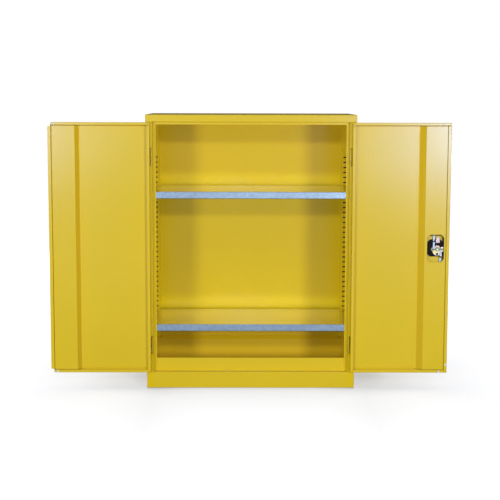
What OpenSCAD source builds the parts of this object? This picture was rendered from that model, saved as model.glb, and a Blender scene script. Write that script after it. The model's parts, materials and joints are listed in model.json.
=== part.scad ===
// Two-door steel cabinet for hazardous liquids, doors folded right back.
// Origin: centre of the footprint, on the floor. +X right, front towards -Y, +Z up. Millimetres.

/* [Cabinet] */
// Overall width across the side panels
cabinet_w = 915; // [800:5:1200]
// Overall depth from header face to rear flanges
cabinet_d = 460; // [400:5:600]
// Overall height from floor to top
cabinet_h = 1200; // [1000:10:1900]
// Thickness of the carcass sheet
sheet_t = 1.2; // [0.9:0.1:2]
// Inside radius of every bend
bend_r = 1.2; // [0.8:0.1:2]
// Height of the plinth
plinth_h = 70; // [50:1:110]
// Height of the header above the doors
header_h = 31; // [24:1:60]
// Width of the jamb face beside each door
jamb_w = 30; // [26:1:45]
// Width of the recessed door stop inside each jamb
stop_w = 13; // [9:1:20]
// Drop of the stop lip below the header
stop_lip_h = 11.5; // [8:0.5:16]
// Width of the hidden weld flanges
flange_w = 15; // [10:1:25]

/* [Plinth and sump] */
// Width of the flange that stands on the floor
base_flange_w = 30; // [20:1:50]
// Width of the bearers that carry the sump
bearer_w = 40; // [25:1:80]
// Height of the sump's floor above the ground
sump_floor_z = 25; // [15:1:40]
// Height of the sump's sill above the plinth
sill_h = 58; // [40:1:90]
// Height of the leaning lip along the sump's rear rim
rear_lip_h = 19; // [10:1:25]
// Lean of that lip towards the front
rear_lip_lean = 7; // [3:0.5:10]
// Mitre cut across that lip's ends
rear_lip_mitre = 8; // [4:0.5:12]
// Distance from that lip's ends to the side walls
rear_lip_in = 27; // [20:1:40]
// Gap between sump, walls and stops
sump_gap = 0.5; // [0.3:0.1:1]

/* [Doors] */
// Depth of the folded door
door_t = 22; // [20:0.5:28]
// Thickness of the door sheet
door_sheet_t = 1; // [0.8:0.1:1.5]
// Half of the gap where the doors meet
meeting_gap = 1; // [0.5:0.1:2]
// Gap between door and header
door_top_gap = 1.5; // [1:0.1:4]
// Gap between door and plinth
door_bottom_gap = 2.5; // [1:0.1:5]
// Gap between a closed door's hinge edge and its jamb
door_edge_gap = 2; // [1:0.1:3]
// Width of the return lip round each door
lip_w = 12; // [8:0.5:16]
// Width of the return lip at the right door's meeting edge
free_lip_w = 13; // [10:0.5:16]
// Width of the mitre slits at the lips' corners
mitre_gap = 0.8; // [0.5:0.1:1.5]
// Diameter of a rubber buffer
buffer_d = 8.5; // [6:0.5:10]
// Gap left between a buffer and what it meets
buffer_gap = 0.2; // [0.1:0.1:0.5]

/* [Astragal and stiffeners] */
// Reach of the astragal beyond the left door's edge
astragal_reach = 12; // [8:0.5:16]
// Distance from the astragal's ends to the door's ends
astragal_inset = 17; // [14:0.5:30]
// Gap between the right door's lip and the closed astragal
astragal_gap = 2; // [1:0.1:3]
// Gap between the closed astragal and the stop plane
astragal_clear = 1.5; // [1:0.1:3]
// Thickness of the stiffener and astragal sheet
stiffener_t = 1.2; // [0.9:0.1:2]
// Width of the left stiffener's flat
left_flat_w = 100.5; // [80:0.5:130]
// Width of the left stiffener's slope
left_slope_w = 15; // [10:0.5:30]
// Width of the right stiffener's flat
right_flat_w = 94; // [88:0.5:130]
// Width of the right stiffener's slope
right_slope_w = 24.5; // [10:0.5:35]
// Width of the foot spot-welded to the door sheet
foot_w = 13; // [8:0.5:20]
// Shadow gap round each stiffener
shadow_gap = 1.3; // [0.6:0.1:3]

/* [Hinges] */
// Height of a hinge, both knuckles together
hinge_h = 75; // [50:1:100]
// Distance of the hinge axis outboard of the jamb's edge
hinge_set = 4.5; // [4.2:0.1:6]
// Distance of the hinge axis in front of the cabinet face
hinge_proud = 1.5; // [1.2:0.1:1.8]
// Outer radius of a knuckle
knuckle_r = 3; // [2.8:0.1:3.4]
// Radius of the hinge pin
pin_r = 1.9; // [1.5:0.1:1.9]
// Running clearance round a pin
pin_clear = 0.05; // [0.02:0.01:0.08]
// Upper hinge centre below the door's top
upper_hinge_drop = 150; // [80:5:250]
// Lower hinge centre above the door's bottom
lower_hinge_rise = 117; // [80:1:250]
// Thickness of a hinge leaf
leaf_t = 2; // [1.5:0.1:2.5]
// Depth of the leaf welded behind the jamb's return
frame_leaf_w = 20; // [15:1:22]
// Width of the leaf on the door
door_leaf_w = 30; // [20:1:40]
// Distance from a door leaf to the ends of its knuckle
leaf_inset = 9; // [4:1:12]

/* [Lock] */
// Lock axis from the right door's meeting edge
lock_from_edge = 52; // [48:0.5:60]
// Width of the lock window in the stiffener
window_w = 74; // [72:1:78]
// Height of the lock window
window_h = 121; // [112:1:160]
// Corner chamfer of the lock window
window_chamfer = 14; // [6:1:18]
// Shift of window and housing from the lock axis, across and up
housing_shift = [-7, 4.5];
// Width of the lock housing
housing_w = 69; // [66:1:71]
// Height of the lock housing
housing_h = 74; // [68:1:80]
// Corner chamfer of the lock housing
housing_chamfer = 12; // [6:1:16]
// Overlap of the bezel round the housing
bezel_w = 10; // [6:0.5:16]
// Thickness of the bezel on the door face
bezel_t = 3; // [2:0.5:4]
// Radius of the handle dish
dish_r = 26.5; // [24:0.5:26.5]
// Throw of the cam from axis to rod pin
cam_throw = 16; // [14:0.5:17]
// Thickness of the cam plate
cam_t = 2.5; // [2:0.1:3]
// Width of a rod
rod_w = 8; // [6:0.5:9]
// Thickness of a rod
rod_t = 3; // [2:0.1:3.5]
// Radius of a rod pin
rod_pin_r = 2.5; // [2:0.1:2.6]
// Clearance between moving plates of the lock
plate_gap = 0.4; // [0.3:0.05:0.6]
// Depth of the rods behind the door face, at the keepers
rod_depth = 11.5; // [11.2:0.1:12]
// Radius of a keeper hole
keeper_r = 8; // [7:0.5:9]
// Reach of the tongue from the lock axis
tongue_reach = 56; // [54:0.5:60]
// Width of the tongue
tongue_w = 17; // [12:0.5:18]
// Radius of the key cylinder
cylinder_r = 6; // [5:0.5:7]

/* [Shelves] */
// Thickness of the galvanised shelf sheet
shelf_t = 1.2; // [0.9:0.1:2]
// Height of the shelf lip
shelf_lip_h = 30; // [26:1:40]
// Width of the return under the lip
shelf_return_w = 12; // [8:1:20]
// Gap between shelf, door stops and clips
shelf_gap = 1.4; // [1:0.1:3]
// Pitch of the slots in the uprights
slot_pitch = 23.5; // [20:0.5:30]
// Width of a slot
slot_w = 14; // [8:0.5:15]
// Height of a slot
slot_h = 6; // [4:0.5:7]
// Lowest slot above the sump's sill
slot_rise = 45.5; // [40:0.5:60]
// Highest slot below the header
slot_drop = 173; // [60:1:250]
// Lower shelf's slot, counted up from the lowest
lower_shelf_slot = 4; // [3:1:8]
// Upper shelf's slot, counted down from the highest
upper_shelf_slot = 6; // [2:1:10]
// Shelf top above the slot that carries it
shelf_rise = 10; // [8:0.5:12]
// Projection of a rear upright from the back panel
rear_upright_d = 22; // [18:1:30]
// Width of a rear upright's slotted face
rear_upright_w = 24; // [22:1:30]
// Width of a rear upright's bevel
upright_bevel = 8; // [6:1:14]
// Width of a front upright
front_upright_w = 30; // [24:1:40]
// Projection of a front upright from the side panel
front_upright_d = 9; // [8:0.5:14]
// Thickness of a shelf clip
clip_t = 2; // [1.5:0.1:2.5]
// Width of a shelf clip
clip_w = 16; // [12:1:20]
// Length of the tab under the shelf
clip_tab = 20; // [15:1:28]

/* [Hidden] */
$fn = 48;
bend_steps = 3;
cut = 1;

// Colours
paint_yellow = [0.84, 0.72, 0.17];
galvanised = [0.68, 0.74, 0.82];
zinc = [0.80, 0.80, 0.78];
yellow_zinc = [0.86, 0.78, 0.55];
black_plastic = [0.06, 0.06, 0.07];
buffer_white = [0.86, 0.89, 0.93];

// Main planes
half_w = cabinet_w / 2;
front = -cabinet_d / 2;
back = cabinet_d / 2;
side_in = half_w - sheet_t;
back_in = back - 2 * sheet_t;
header_z = cabinet_h - header_h;
jamb_in = half_w - jamb_w;
stop_in = jamb_in - stop_w;
stop_depth = door_t + astragal_gap + stiffener_t + astragal_clear;
stop_y = front + stop_depth;
sill_z = plinth_h + sill_h;
sump_rear = back_in - sheet_t - sump_gap;

// Hinge axes
hinge_x = jamb_in + hinge_set;
hinge_y = front - hinge_proud;
open_face_y = front - 2 * hinge_proud;
knuckle_gap = 0.2;
hinge_room = 2.5;
notch_out = hinge_x + knuckle_r + 5;
notch_depth = 8;
pin_head_h = 1.5;

// Door, measured from its hinge axis and its outer face
door_edge = hinge_set + door_edge_gap;
door_free = hinge_x - meeting_gap;
door_w = door_free - door_edge;
door_bottom = plinth_h + door_bottom_gap;
door_top = header_z - door_top_gap;
door_h = door_top - door_bottom;
fold_r = bend_r + door_sheet_t;
hinge_heights = [door_top - upper_hinge_drop, door_bottom + lower_hinge_rise];

// Stiffeners and astragal
stiffener_bottom = door_bottom + lip_w + shadow_gap;
stiffener_top = door_top - lip_w - shadow_gap;
foot_depth = door_sheet_t + stiffener_t;
left_flat_end = door_free - door_sheet_t - stiffener_t - shadow_gap;
right_flat_end = door_free - free_lip_w - shadow_gap;
lip_depth = door_t + astragal_gap;

// Buffers: distance in from the meeting edge, and in from the door's ends
buffer_r = buffer_d / 2;
stop_buffer_h = stop_depth - door_t - buffer_gap;
edge_buffer_h = astragal_gap - buffer_gap;
buffer_end = lip_w / 2;
left_buffer_in = 15;
right_buffer_in = 36;
edge_buffer_end = 36;

// Lock, measured from its axis; depths are behind the door's outer face
lock_u = door_free - lock_from_edge;
lock_z = (door_bottom + door_top) / 2;
housing_u = lock_u + housing_shift[0];
housing_z = lock_z + housing_shift[1];
housing_fit = 0.3;
rotor_t = 2;
rotor_gap = 0.4;
dish_depth = 9.4;
housing_plate_depth = dish_depth + 0.2;
housing_boss_depth = dish_depth + 3;
housing_boss_r = dish_r + 1.3;
journal_r = 6;
journal_clear = 0.05;
rotor_depth = dish_depth - rotor_gap - rotor_t;
cam_depth = housing_boss_depth + 0.6;
cam_top = cam_depth + cam_t;
rod_high = cam_top + plate_gap;
rod_low = rod_depth - rod_t / 2;
tongue_t = 2.5;
tongue_top = cam_top + tongue_t;
tongue_tip = lip_depth + stiffener_t + 1.3;
spindle_square = 8;
square_clear = 0.1;
stud_r = 3;
washer_r = 7;
washer_t = 1;
nut_r = 5.8;
nut_t = 4;
nut_top = tongue_top + washer_t + nut_t;
stud_proud = 1.5;
handle_proud = 6;
boss_r = cylinder_r + 4;
blade_w = 12;
blade_r = dish_r - 2.5;
cylinder_proud = 7;
cylinder_clear = 0.06;
cylinder_l = 7.5;
keyway_w = 2;
rod_crank = 7;
rod_room = 2;
rod_back = 1.5;
guide_w = 28;
guide_d = 14;
guide_t = 2.5;
guide_slot_w = rod_w + 9;
guide_slot_d = rod_t + 2;
upper_reach = door_top - lock_z;
lower_reach = lock_z - door_bottom;
crank_from = housing_boss_r + rod_room;
keeper_x = hinge_x - lock_u;
keeper_y = front + rod_depth;
screw_r = 3.5;
screw_h = 1.8;
screw_in = 7;

// Shelves and uprights
slot_shift = 2;
slot_first = sill_z + slot_rise;
slot_count = floor((header_z - slot_drop - slot_first) / slot_pitch) + 1;
lower_shelf_z = slot_first + lower_shelf_slot * slot_pitch + shelf_rise;
upper_shelf_z = slot_first + (slot_count - 1 - upper_shelf_slot) * slot_pitch + shelf_rise;
upright_bottom = sill_z + rear_lip_h;
upright_top = header_z - stop_lip_h - 2;
rear_face = back_in - rear_upright_d;
rear_in = side_in - rear_upright_w - upright_bevel;
front_face = side_in - front_upright_d;
front_upright_y = stop_y + sheet_t + 14;
rear_slot_x = side_in - rear_upright_w / 2 - slot_shift;
shelf_front = stop_y + sheet_t + shelf_gap;
shelf_rear = rear_face - clip_t - shelf_gap;
shelf_half = front_face - clip_t - shelf_gap;
hook_l = 4;
hook_w = slot_w - 2;
hook_h = slot_h - 1;

// Folded sheet: the path is one surface of the sheet, and the thickness lies on the path's left
function left_of(v) = [-v[1], v[0]];
function unit(v) = v / norm(v);
function turned(v, angle) = [
    v[0] * cos(angle) - v[1] * sin(angle),
    v[0] * sin(angle) + v[1] * cos(angle)
];
function reversed(list) = [for (i = [len(list) - 1 : -1 : 0]) list[i]];

// Arc of a bend at corner p, from direction a to direction b, on the line at this offset
function bend_arc(p, a, b, offset, t) =
    let (
        turn = atan2(a[0] * b[1] - a[1] * b[0], a * b),
        n = left_of(a),
        m = left_of(b),
        centre_offset = turn > 0 ? bend_r + t : -bend_r,
        centre = p + (n + m) * centre_offset / (1 + n * m)
    )
    [for (i = [0 : bend_steps]) centre + turned(n, turn * i / bend_steps) * (offset - centre_offset)];

function sheet_line(path, offset, t) =
    let (last = len(path) - 1)
    [for (i = [0 : last])
        let (
            a = unit(i > 0 ? path[i] - path[i - 1] : path[1] - path[0]),
            b = unit(i < last ? path[i + 1] - path[i] : path[last] - path[last - 1])
        )
        each (i == 0 || i == last ? [path[i] + left_of(a) * offset] : bend_arc(path[i], a, b, offset, t))
    ];

module folded_sheet(path, length, t) {
    linear_extrude(length)
        polygon(concat(sheet_line(path, 0, t), reversed(sheet_line(path, t, t))));
}

// Turns a profile drawn in Y and Z, and extruded upwards, to run along +X
module along_x() {
    rotate([90, 0, 90])
        children();
}

// Turns a profile drawn in X and Z, and extruded upwards, to run along +Y
module along_y() {
    mirror([0, 1, 0])
        rotate([90, 0, 0])
            children();
}

module mirrored_x(do_it) {
    mirror([do_it ? 1 : 0, 0, 0])
        children();
}

// Box between two corners
module box(low, high) {
    translate(low)
        cube(high - low);
}

module rounded_rect(w, h, r) {
    translate([r, 0])
        square([w - 2 * r, h]);
    translate([0, r])
        square([w, h - 2 * r]);
    for (x = [r, w - r], y = [r, h - r])
        translate([x, y])
            circle(r);
}

module octagon(w, h, c) {
    polygon([
        [c - w / 2, -h / 2], [w / 2 - c, -h / 2], [w / 2, c - h / 2], [w / 2, h / 2 - c],
        [w / 2 - c, h / 2], [c - w / 2, h / 2], [-w / 2, h / 2 - c], [-w / 2, c - h / 2]
    ]);
}

// Box with all its long folds rounded
module folded_block(w, d, h, r) {
    intersection() {
        linear_extrude(h)
            rounded_rect(w, d, r);
        along_x()
            linear_extrude(w)
                rounded_rect(d, h, r);
    }
}

// Carcass

// Right-hand side panel: side wall, jamb, door stop and rear flange from one sheet
module side_panel() {
    stop_end = [stop_in, stop_y];
    stop_corner = [jamb_in, stop_y];
    jamb_edge = [jamb_in, front];
    front_corner = [half_w, front];
    back_corner = [half_w, back];
    flange_end = [half_w - flange_w, back];
    difference() {
        union() {
            folded_sheet([jamb_edge, front_corner, back_corner, flange_end], plinth_h, sheet_t);
            translate([0, 0, plinth_h])
                folded_sheet(
                    [stop_end, stop_corner, jamb_edge, front_corner, back_corner, flange_end],
                    header_z - plinth_h, sheet_t
                );
            translate([0, 0, header_z])
                folded_sheet(
                    [[half_w, front + sheet_t], back_corner, flange_end],
                    cabinet_h - header_z, sheet_t
                );
        }
        for (z = hinge_heights)
            box(
                [jamb_in - cut, front - cut, z - hinge_h / 2 - hinge_room],
                [notch_out, front + notch_depth, z + hinge_h / 2 + hinge_room]
            );
    }
}

module left_side_panel() {
    color(paint_yellow)
        mirrored_x(true)
            side_panel();
}

module right_side_panel() {
    color(paint_yellow)
        side_panel();
}

module back_panel() {
    color(paint_yellow)
        box(
            [bend_r - side_in, back_in, 0],
            [side_in - bend_r, back_in + sheet_t, cabinet_h - sheet_t - bend_r]
        );
}

// Top sheet, header, door-stop lip and rear flange from one sheet
module top_panel() {
    flange_reach = cabinet_h - flange_w;
    far_corner = [half_w + cut, back + cut, cabinet_h + cut];
    color(paint_yellow)
        difference() {
            union() {
                translate([-half_w, 0, 0])
                    along_x()
                        folded_sheet(
                            [
                                [back, flange_reach], [back, cabinet_h], [front, cabinet_h],
                                [front, header_z], [stop_y, header_z], [stop_y, header_z - stop_lip_h]
                            ],
                            cabinet_w, sheet_t
                        );
                for (side = [false, true])
                    mirrored_x(side)
                        box(
                            [side_in - sheet_t, front + flange_w, flange_reach],
                            [side_in, back - flange_w, cabinet_h - sheet_t]
                        );
            }
            for (side = [false, true])
                mirrored_x(side) {
                    box([side_in, front + sheet_t, header_z - cut], far_corner);
                    box([half_w - flange_w, back - sheet_t, header_z], far_corner);
                    box(
                        [stop_in, front + sheet_t + bend_r, header_z - stop_lip_h - cut],
                        [half_w + cut, stop_y + 2 * sheet_t + cut, header_z]
                    );
                }
            translate([keeper_x, keeper_y, header_z - cut])
                cylinder(r = keeper_r, h = sheet_t + 2 * cut);
        }
}

// Plan of the plinth, drawn in from its outer faces
module plinth_plan(inset) {
    face = front + inset;
    corner = front + sheet_t + inset;
    rear = back_in - inset;
    kick = jamb_in - inset;
    side = side_in - inset;
    polygon([
        [-kick, face], [kick, face], [kick, corner], [side - bend_r, corner], [side, corner + bend_r],
        [side, rear], [-side, rear], [-side, corner + bend_r], [bend_r - side, corner], [-kick, corner]
    ]);
}

module plinth_ring(inset, height) {
    linear_extrude(height)
        difference() {
            plinth_plan(0);
            plinth_plan(inset);
        }
}

// Floor flange, walls, ledge under the doors and bearers under the sump
module plinth() {
    bearer_z = sump_floor_z - sheet_t;
    color(paint_yellow)
        difference() {
            union() {
                plinth_ring(base_flange_w, sheet_t);
                translate([0, 0, sheet_t])
                    plinth_ring(sheet_t, plinth_h - sheet_t);
                box(
                    [-jamb_in, front, plinth_h - sheet_t],
                    [jamb_in, stop_y - sump_gap, plinth_h]
                );
                box([-side_in, back_in - bearer_w, bearer_z], [side_in, back_in, sump_floor_z]);
                for (side = [false, true])
                    mirrored_x(side)
                        box([side_in - bearer_w, stop_y, bearer_z], [side_in, back_in, sump_floor_z]);
            }
            translate([keeper_x, keeper_y, plinth_h - sheet_t - cut])
                cylinder(r = keeper_r, h = sheet_t + 2 * cut);
        }
}

// Plan of the sump: its sill lies between the door stops, its body behind them
module sump_plan(inset) {
    face = stop_y + inset;
    corner = stop_y + sheet_t + sump_gap + inset;
    rear = sump_rear - inset;
    sill = stop_in - sump_gap - inset;
    side = side_in - sheet_t - sump_gap - inset;
    polygon([
        [-sill, face], [sill, face], [sill, corner], [side, corner],
        [side, rear], [-side, rear], [-side, corner], [-sill, corner]
    ]);
}

module sump_tray() {
    lip_half = side_in - rear_lip_in;
    lip_top = sill_z + rear_lip_h - cut;
    lip_edge = sump_rear - rear_lip_lean;
    color(paint_yellow)
        union() {
            translate([0, 0, sump_floor_z])
                linear_extrude(sheet_t)
                    sump_plan(0);
            translate([0, 0, sump_floor_z + sheet_t])
                linear_extrude(sill_z - sump_floor_z - sheet_t)
                    difference() {
                        sump_plan(0);
                        sump_plan(sheet_t);
                    }
            intersection() {
                translate([-lip_half, 0, 0])
                    along_x()
                        linear_extrude(2 * lip_half)
                            polygon([
                                [sump_rear, sill_z - cut], [sump_rear, sill_z], [lip_edge, lip_top],
                                [lip_edge - sheet_t, lip_top], [sump_rear - sheet_t, sill_z],
                                [sump_rear - sheet_t, sill_z - cut]
                            ]);
                translate([0, lip_edge - 2 * sheet_t, 0])
                    along_y()
                        linear_extrude(rear_lip_lean + 3 * sheet_t)
                            polygon([
                                [-lip_half, sill_z - cut], [lip_half, sill_z - cut],
                                [lip_half - rear_lip_mitre, lip_top], [rear_lip_mitre - lip_half, lip_top]
                            ]);
            }
        }
}

// Uprights, clips and shelves

module slots() {
    for (i = [0 : slot_count - 1])
        translate([0, 0, slot_first + i * slot_pitch - slot_h / 2])
            children();
}

// Right-hand rear upright: bevelled corner post with slots that face the doors
module rear_upright() {
    difference() {
        translate([0, 0, upright_bottom])
            folded_sheet(
                [
                    [rear_in, back_in], [rear_in, rear_face + upright_bevel],
                    [rear_in + upright_bevel, rear_face], [side_in, rear_face]
                ],
                upright_top - upright_bottom, sheet_t
            );
        slots()
            box(
                [rear_slot_x - slot_w / 2, rear_face - cut, 0],
                [rear_slot_x + slot_w / 2, rear_face + sheet_t + cut, slot_h]
            );
    }
}

module left_rear_upright() {
    color(paint_yellow)
        mirrored_x(true)
            rear_upright();
}

module right_rear_upright() {
    color(paint_yellow)
        rear_upright();
}

// Right-hand front upright: channel on the side panel with slots that face inwards
module front_upright() {
    far = front_upright_y + front_upright_w;
    middle = front_upright_y + front_upright_w / 2;
    difference() {
        translate([0, 0, upright_bottom])
            folded_sheet(
                [
                    [side_in, far], [front_face, far],
                    [front_face, front_upright_y], [side_in, front_upright_y]
                ],
                upright_top - upright_bottom, sheet_t
            );
        slots()
            box(
                [front_face - cut, middle - slot_w / 2, 0],
                [front_face + sheet_t + cut, middle + slot_w / 2, slot_h]
            );
    }
}

module left_front_upright() {
    color(paint_yellow)
        mirrored_x(true)
            front_upright();
}

module right_front_upright() {
    color(paint_yellow)
        front_upright();
}

// Clip drawn on the face y = 0: hook behind it, plate in front, tab out towards -Y at the shelf's underside
module shelf_clip() {
    drop = shelf_lip_h - shelf_rise;
    box([-clip_w / 2, -clip_t, -drop - clip_t], [clip_w / 2, 0, slot_h + 1]);
    box([-clip_w / 2, -clip_t - clip_tab, -drop - clip_t], [clip_w / 2, -clip_t, -drop]);
    box([-hook_w / 2, 0, -hook_h / 2], [hook_w / 2, hook_l, hook_h / 2]);
}

module shelf_clips(shelf_z) {
    slot_z = shelf_z - shelf_rise;
    middle = front_upright_y + front_upright_w / 2;
    for (side = [false, true])
        mirrored_x(side) {
            translate([rear_slot_x, rear_face, slot_z])
                shelf_clip();
            translate([front_face, middle, slot_z])
                rotate([0, 0, -90])
                    shelf_clip();
        }
}

module upper_shelf_clips() {
    color(zinc)
        shelf_clips(upper_shelf_z);
}

module lower_shelf_clips() {
    color(zinc)
        shelf_clips(lower_shelf_z);
}

module shelf(top) {
    under = top - shelf_lip_h;
    translate([-shelf_half, 0, 0])
        along_x()
            folded_sheet(
                [
                    [shelf_rear - shelf_return_w, under], [shelf_rear, under], [shelf_rear, top],
                    [shelf_front, top], [shelf_front, under], [shelf_front + shelf_return_w, under]
                ],
                2 * shelf_half, shelf_t
            );
    for (side = [false, true])
        mirrored_x(side)
            box(
                [shelf_half - shelf_t, shelf_front + shelf_return_w, under],
                [shelf_half, shelf_rear - shelf_return_w, top - shelf_t / 2]
            );
}

module upper_shelf() {
    color(galvanised)
        shelf(upper_shelf_z);
}

module lower_shelf() {
    color(galvanised)
        shelf(lower_shelf_z);
}

// Hinges

// Upper half of each hinge: knuckle and leaf on the jamb
module frame_knuckles() {
    leaf_x = jamb_in + sheet_t;
    for (z = hinge_heights)
        difference() {
            union() {
                translate([hinge_x, hinge_y, z + knuckle_gap])
                    cylinder(r = knuckle_r, h = hinge_h / 2 - knuckle_gap);
                box(
                    [leaf_x, hinge_y, z + knuckle_gap],
                    [leaf_x + leaf_t, hinge_y + frame_leaf_w, z + hinge_h / 2]
                );
            }
            translate([hinge_x, hinge_y, z])
                cylinder(r = pin_r + pin_clear, h = hinge_h);
        }
}

// Pins held by the frame knuckles, with heads that carry the door knuckles
module hinge_pins() {
    for (z = hinge_heights)
        translate([hinge_x, hinge_y, z - hinge_h / 2 - knuckle_gap]) {
            cylinder(r = pin_r, h = hinge_h - pin_head_h);
            translate([0, 0, -pin_head_h])
                cylinder(r = knuckle_r, h = pin_head_h);
        }
}

module left_hinge_frame_knuckles() {
    color(paint_yellow)
        mirrored_x(true)
            frame_knuckles();
}

module right_hinge_frame_knuckles() {
    color(paint_yellow)
        frame_knuckles();
}

module left_hinge_pins() {
    color(paint_yellow)
        mirrored_x(true)
            hinge_pins();
}

module right_hinge_pins() {
    color(paint_yellow)
        hinge_pins();
}

// Doors are drawn from the hinge axis: X to the meeting edge, Y inwards from the outer face

module on_right_door() {
    translate([hinge_x, open_face_y, 0])
        mirror([0, 1, 0])
            children();
}

module on_left_door() {
    translate([-hinge_x, open_face_y, 0])
        rotate([0, 0, 180])
            children();
}

// Lower half of each hinge: knuckle, rolled web and leaf inside the door's edge
module door_knuckles() {
    leaf_depth = door_sheet_t + leaf_t;
    for (z = hinge_heights)
        difference() {
            union() {
                translate([0, -hinge_proud, z - hinge_h / 2])
                    cylinder(r = knuckle_r, h = hinge_h / 2 - knuckle_gap);
                box(
                    [knuckle_r - leaf_t, -hinge_proud, z - hinge_h / 2 + leaf_inset],
                    [knuckle_r, leaf_depth, z - leaf_inset]
                );
                box(
                    [knuckle_r - leaf_t, door_sheet_t, z - hinge_h / 2 + leaf_inset],
                    [door_leaf_w, leaf_depth, z - leaf_inset]
                );
            }
            translate([0, -hinge_proud, z - hinge_h])
                cylinder(r = pin_r + pin_clear, h = hinge_h);
        }
}

module left_hinge_door_knuckles() {
    color(paint_yellow)
        on_left_door()
            door_knuckles();
}

module right_hinge_door_knuckles() {
    color(paint_yellow)
        on_right_door()
            door_knuckles();
}

// Slit from the inner corner of two return lips out to their folds
module lip_mitre(u, z, angle) {
    translate([u, door_t, z])
        rotate([0, angle, 0])
            box([-cut, -2 * door_sheet_t, -mitre_gap / 2], [(lip_w - fold_r) * sqrt(2), cut, mitre_gap / 2]);
}

// Folded door: outer sheet, four edges and their mitred return lips
module door_pan(free_lip) {
    t = door_sheet_t;
    difference() {
        translate([door_edge, 0, door_bottom])
            folded_block(door_w, door_t, door_h, fold_r);
        translate([door_edge + t, t, door_bottom + t])
            folded_block(door_w - 2 * t, door_t - 2 * t, door_h - 2 * t, bend_r);
        box(
            [door_edge + lip_w, door_t / 2, door_bottom + lip_w],
            [door_free - free_lip, door_t + cut, door_top - lip_w]
        );
        for (z = hinge_heights)
            box(
                [door_edge - cut, -cut, z - hinge_h / 2 - 1],
                [door_edge + t + bend_r, t + leaf_t + 1, z + knuckle_gap]
            );
        for (end = [[door_bottom + lip_w, 1], [door_top - lip_w, -1]]) {
            lip_mitre(door_edge + lip_w, end[0], end[1] * 135);
            if (free_lip > t)
                lip_mitre(door_free - free_lip, end[0], end[1] * 45);
        }
    }
}

// The left door's meeting edge is a plain flange, cut square inside the astragal
module left_door_panel() {
    color(paint_yellow)
        on_left_door()
            difference() {
                door_pan(door_sheet_t);
                box(
                    [door_free - fold_r, door_t - fold_r, door_bottom + lip_w],
                    [door_free + cut, door_t + cut, door_top - lip_w]
                );
            }
}

module right_door_panel() {
    color(paint_yellow)
        on_right_door()
            difference() {
                door_pan(free_lip_w);
                translate([housing_u, -cut, housing_z])
                    along_y()
                        linear_extrude(door_sheet_t + 2 * cut)
                            octagon(
                                housing_w + 2 * housing_fit, housing_h + 2 * housing_fit, housing_chamfer
                            );
                for (z = [door_bottom, door_top])
                    box(
                        [lock_u - guide_slot_w / 2, rod_depth - guide_slot_d / 2, z - 2 * door_sheet_t],
                        [lock_u + guide_slot_w / 2, rod_depth + guide_slot_d / 2, z + 2 * door_sheet_t]
                    );
            }
}

// Hat section: leg on the door sheet, flat, slope and welded foot
module stiffener(flat_end, flat_w, slope_w) {
    slope_top = flat_end - flat_w;
    slope_foot = slope_top - slope_w;
    translate([0, 0, stiffener_bottom])
        folded_sheet(
            [
                [flat_end, door_sheet_t], [flat_end, door_t], [slope_top, door_t],
                [slope_foot, foot_depth], [slope_foot - foot_w, foot_depth]
            ],
            stiffener_top - stiffener_bottom, stiffener_t
        );
}

module left_door_stiffener() {
    color(paint_yellow)
        on_left_door()
            stiffener(left_flat_end, left_flat_w, left_slope_w);
}

module right_door_stiffener() {
    color(paint_yellow)
        on_right_door()
            difference() {
                stiffener(right_flat_end, right_flat_w, right_slope_w);
                translate([housing_u - 1, door_t - stiffener_t - cut, housing_z])
                    along_y()
                        linear_extrude(stiffener_t + 2 * cut)
                            octagon(window_w, window_h, window_chamfer);
            }
}

// Strip that closes the gap where the doors meet
module left_astragal() {
    leg = door_free - door_sheet_t;
    color(paint_yellow)
        on_left_door()
            translate([0, 0, door_bottom + astragal_inset])
                folded_sheet(
                    [
                        [leg, 2 * door_sheet_t + bend_r], [leg, lip_depth],
                        [door_free + astragal_reach, lip_depth]
                    ],
                    door_h - 2 * astragal_inset, stiffener_t
                );
}

module buffer(u, z, height) {
    translate([u, door_t, z])
        along_y()
            union() {
                cylinder(r = buffer_r, h = height / 2);
                translate([0, 0, height / 2])
                    cylinder(r1 = buffer_r, r2 = buffer_r * 0.7, h = height / 2);
            }
}

module left_door_buffers() {
    color(buffer_white)
        on_left_door()
            for (z = [door_bottom + buffer_end, door_top - buffer_end])
                buffer(door_free - left_buffer_in, z, stop_buffer_h);
}

module right_door_buffers() {
    color(buffer_white)
        on_right_door() {
            for (z = [door_bottom + buffer_end, door_top - buffer_end])
                buffer(door_free - right_buffer_in, z, stop_buffer_h);
            for (z = [door_bottom + edge_buffer_end, door_top - edge_buffer_end])
                buffer(door_free - free_lip_w / 2, z, edge_buffer_h);
        }
}

// Lock

// Places a shape drawn about the lock axis, with depth behind the door face along +Z, in the door
module at_lock(depth) {
    on_right_door()
        translate([lock_u, depth, lock_z])
            along_y()
                children();
}

// Bezel on the door face, chamfered body through the sheet and round dish for the handle
module lock_housing() {
    color(black_plastic)
        difference() {
            union() {
                at_lock(-bezel_t)
                    translate(housing_shift - [housing_w / 2 + bezel_w, housing_h / 2 + bezel_w])
                        linear_extrude(bezel_t)
                            rounded_rect(housing_w + 2 * bezel_w, housing_h + 2 * bezel_w, bezel_w);
                at_lock(-cut)
                    translate(housing_shift)
                        linear_extrude(housing_plate_depth + cut)
                            octagon(housing_w, housing_h, housing_chamfer);
                at_lock(0)
                    cylinder(r = housing_boss_r, h = housing_boss_depth);
            }
            at_lock(-bezel_t - cut)
                cylinder(r = dish_r, h = bezel_t + cut + dish_depth);
            at_lock(0)
                cylinder(r = journal_r + journal_clear, h = housing_boss_depth + cut);
        }
}

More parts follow.
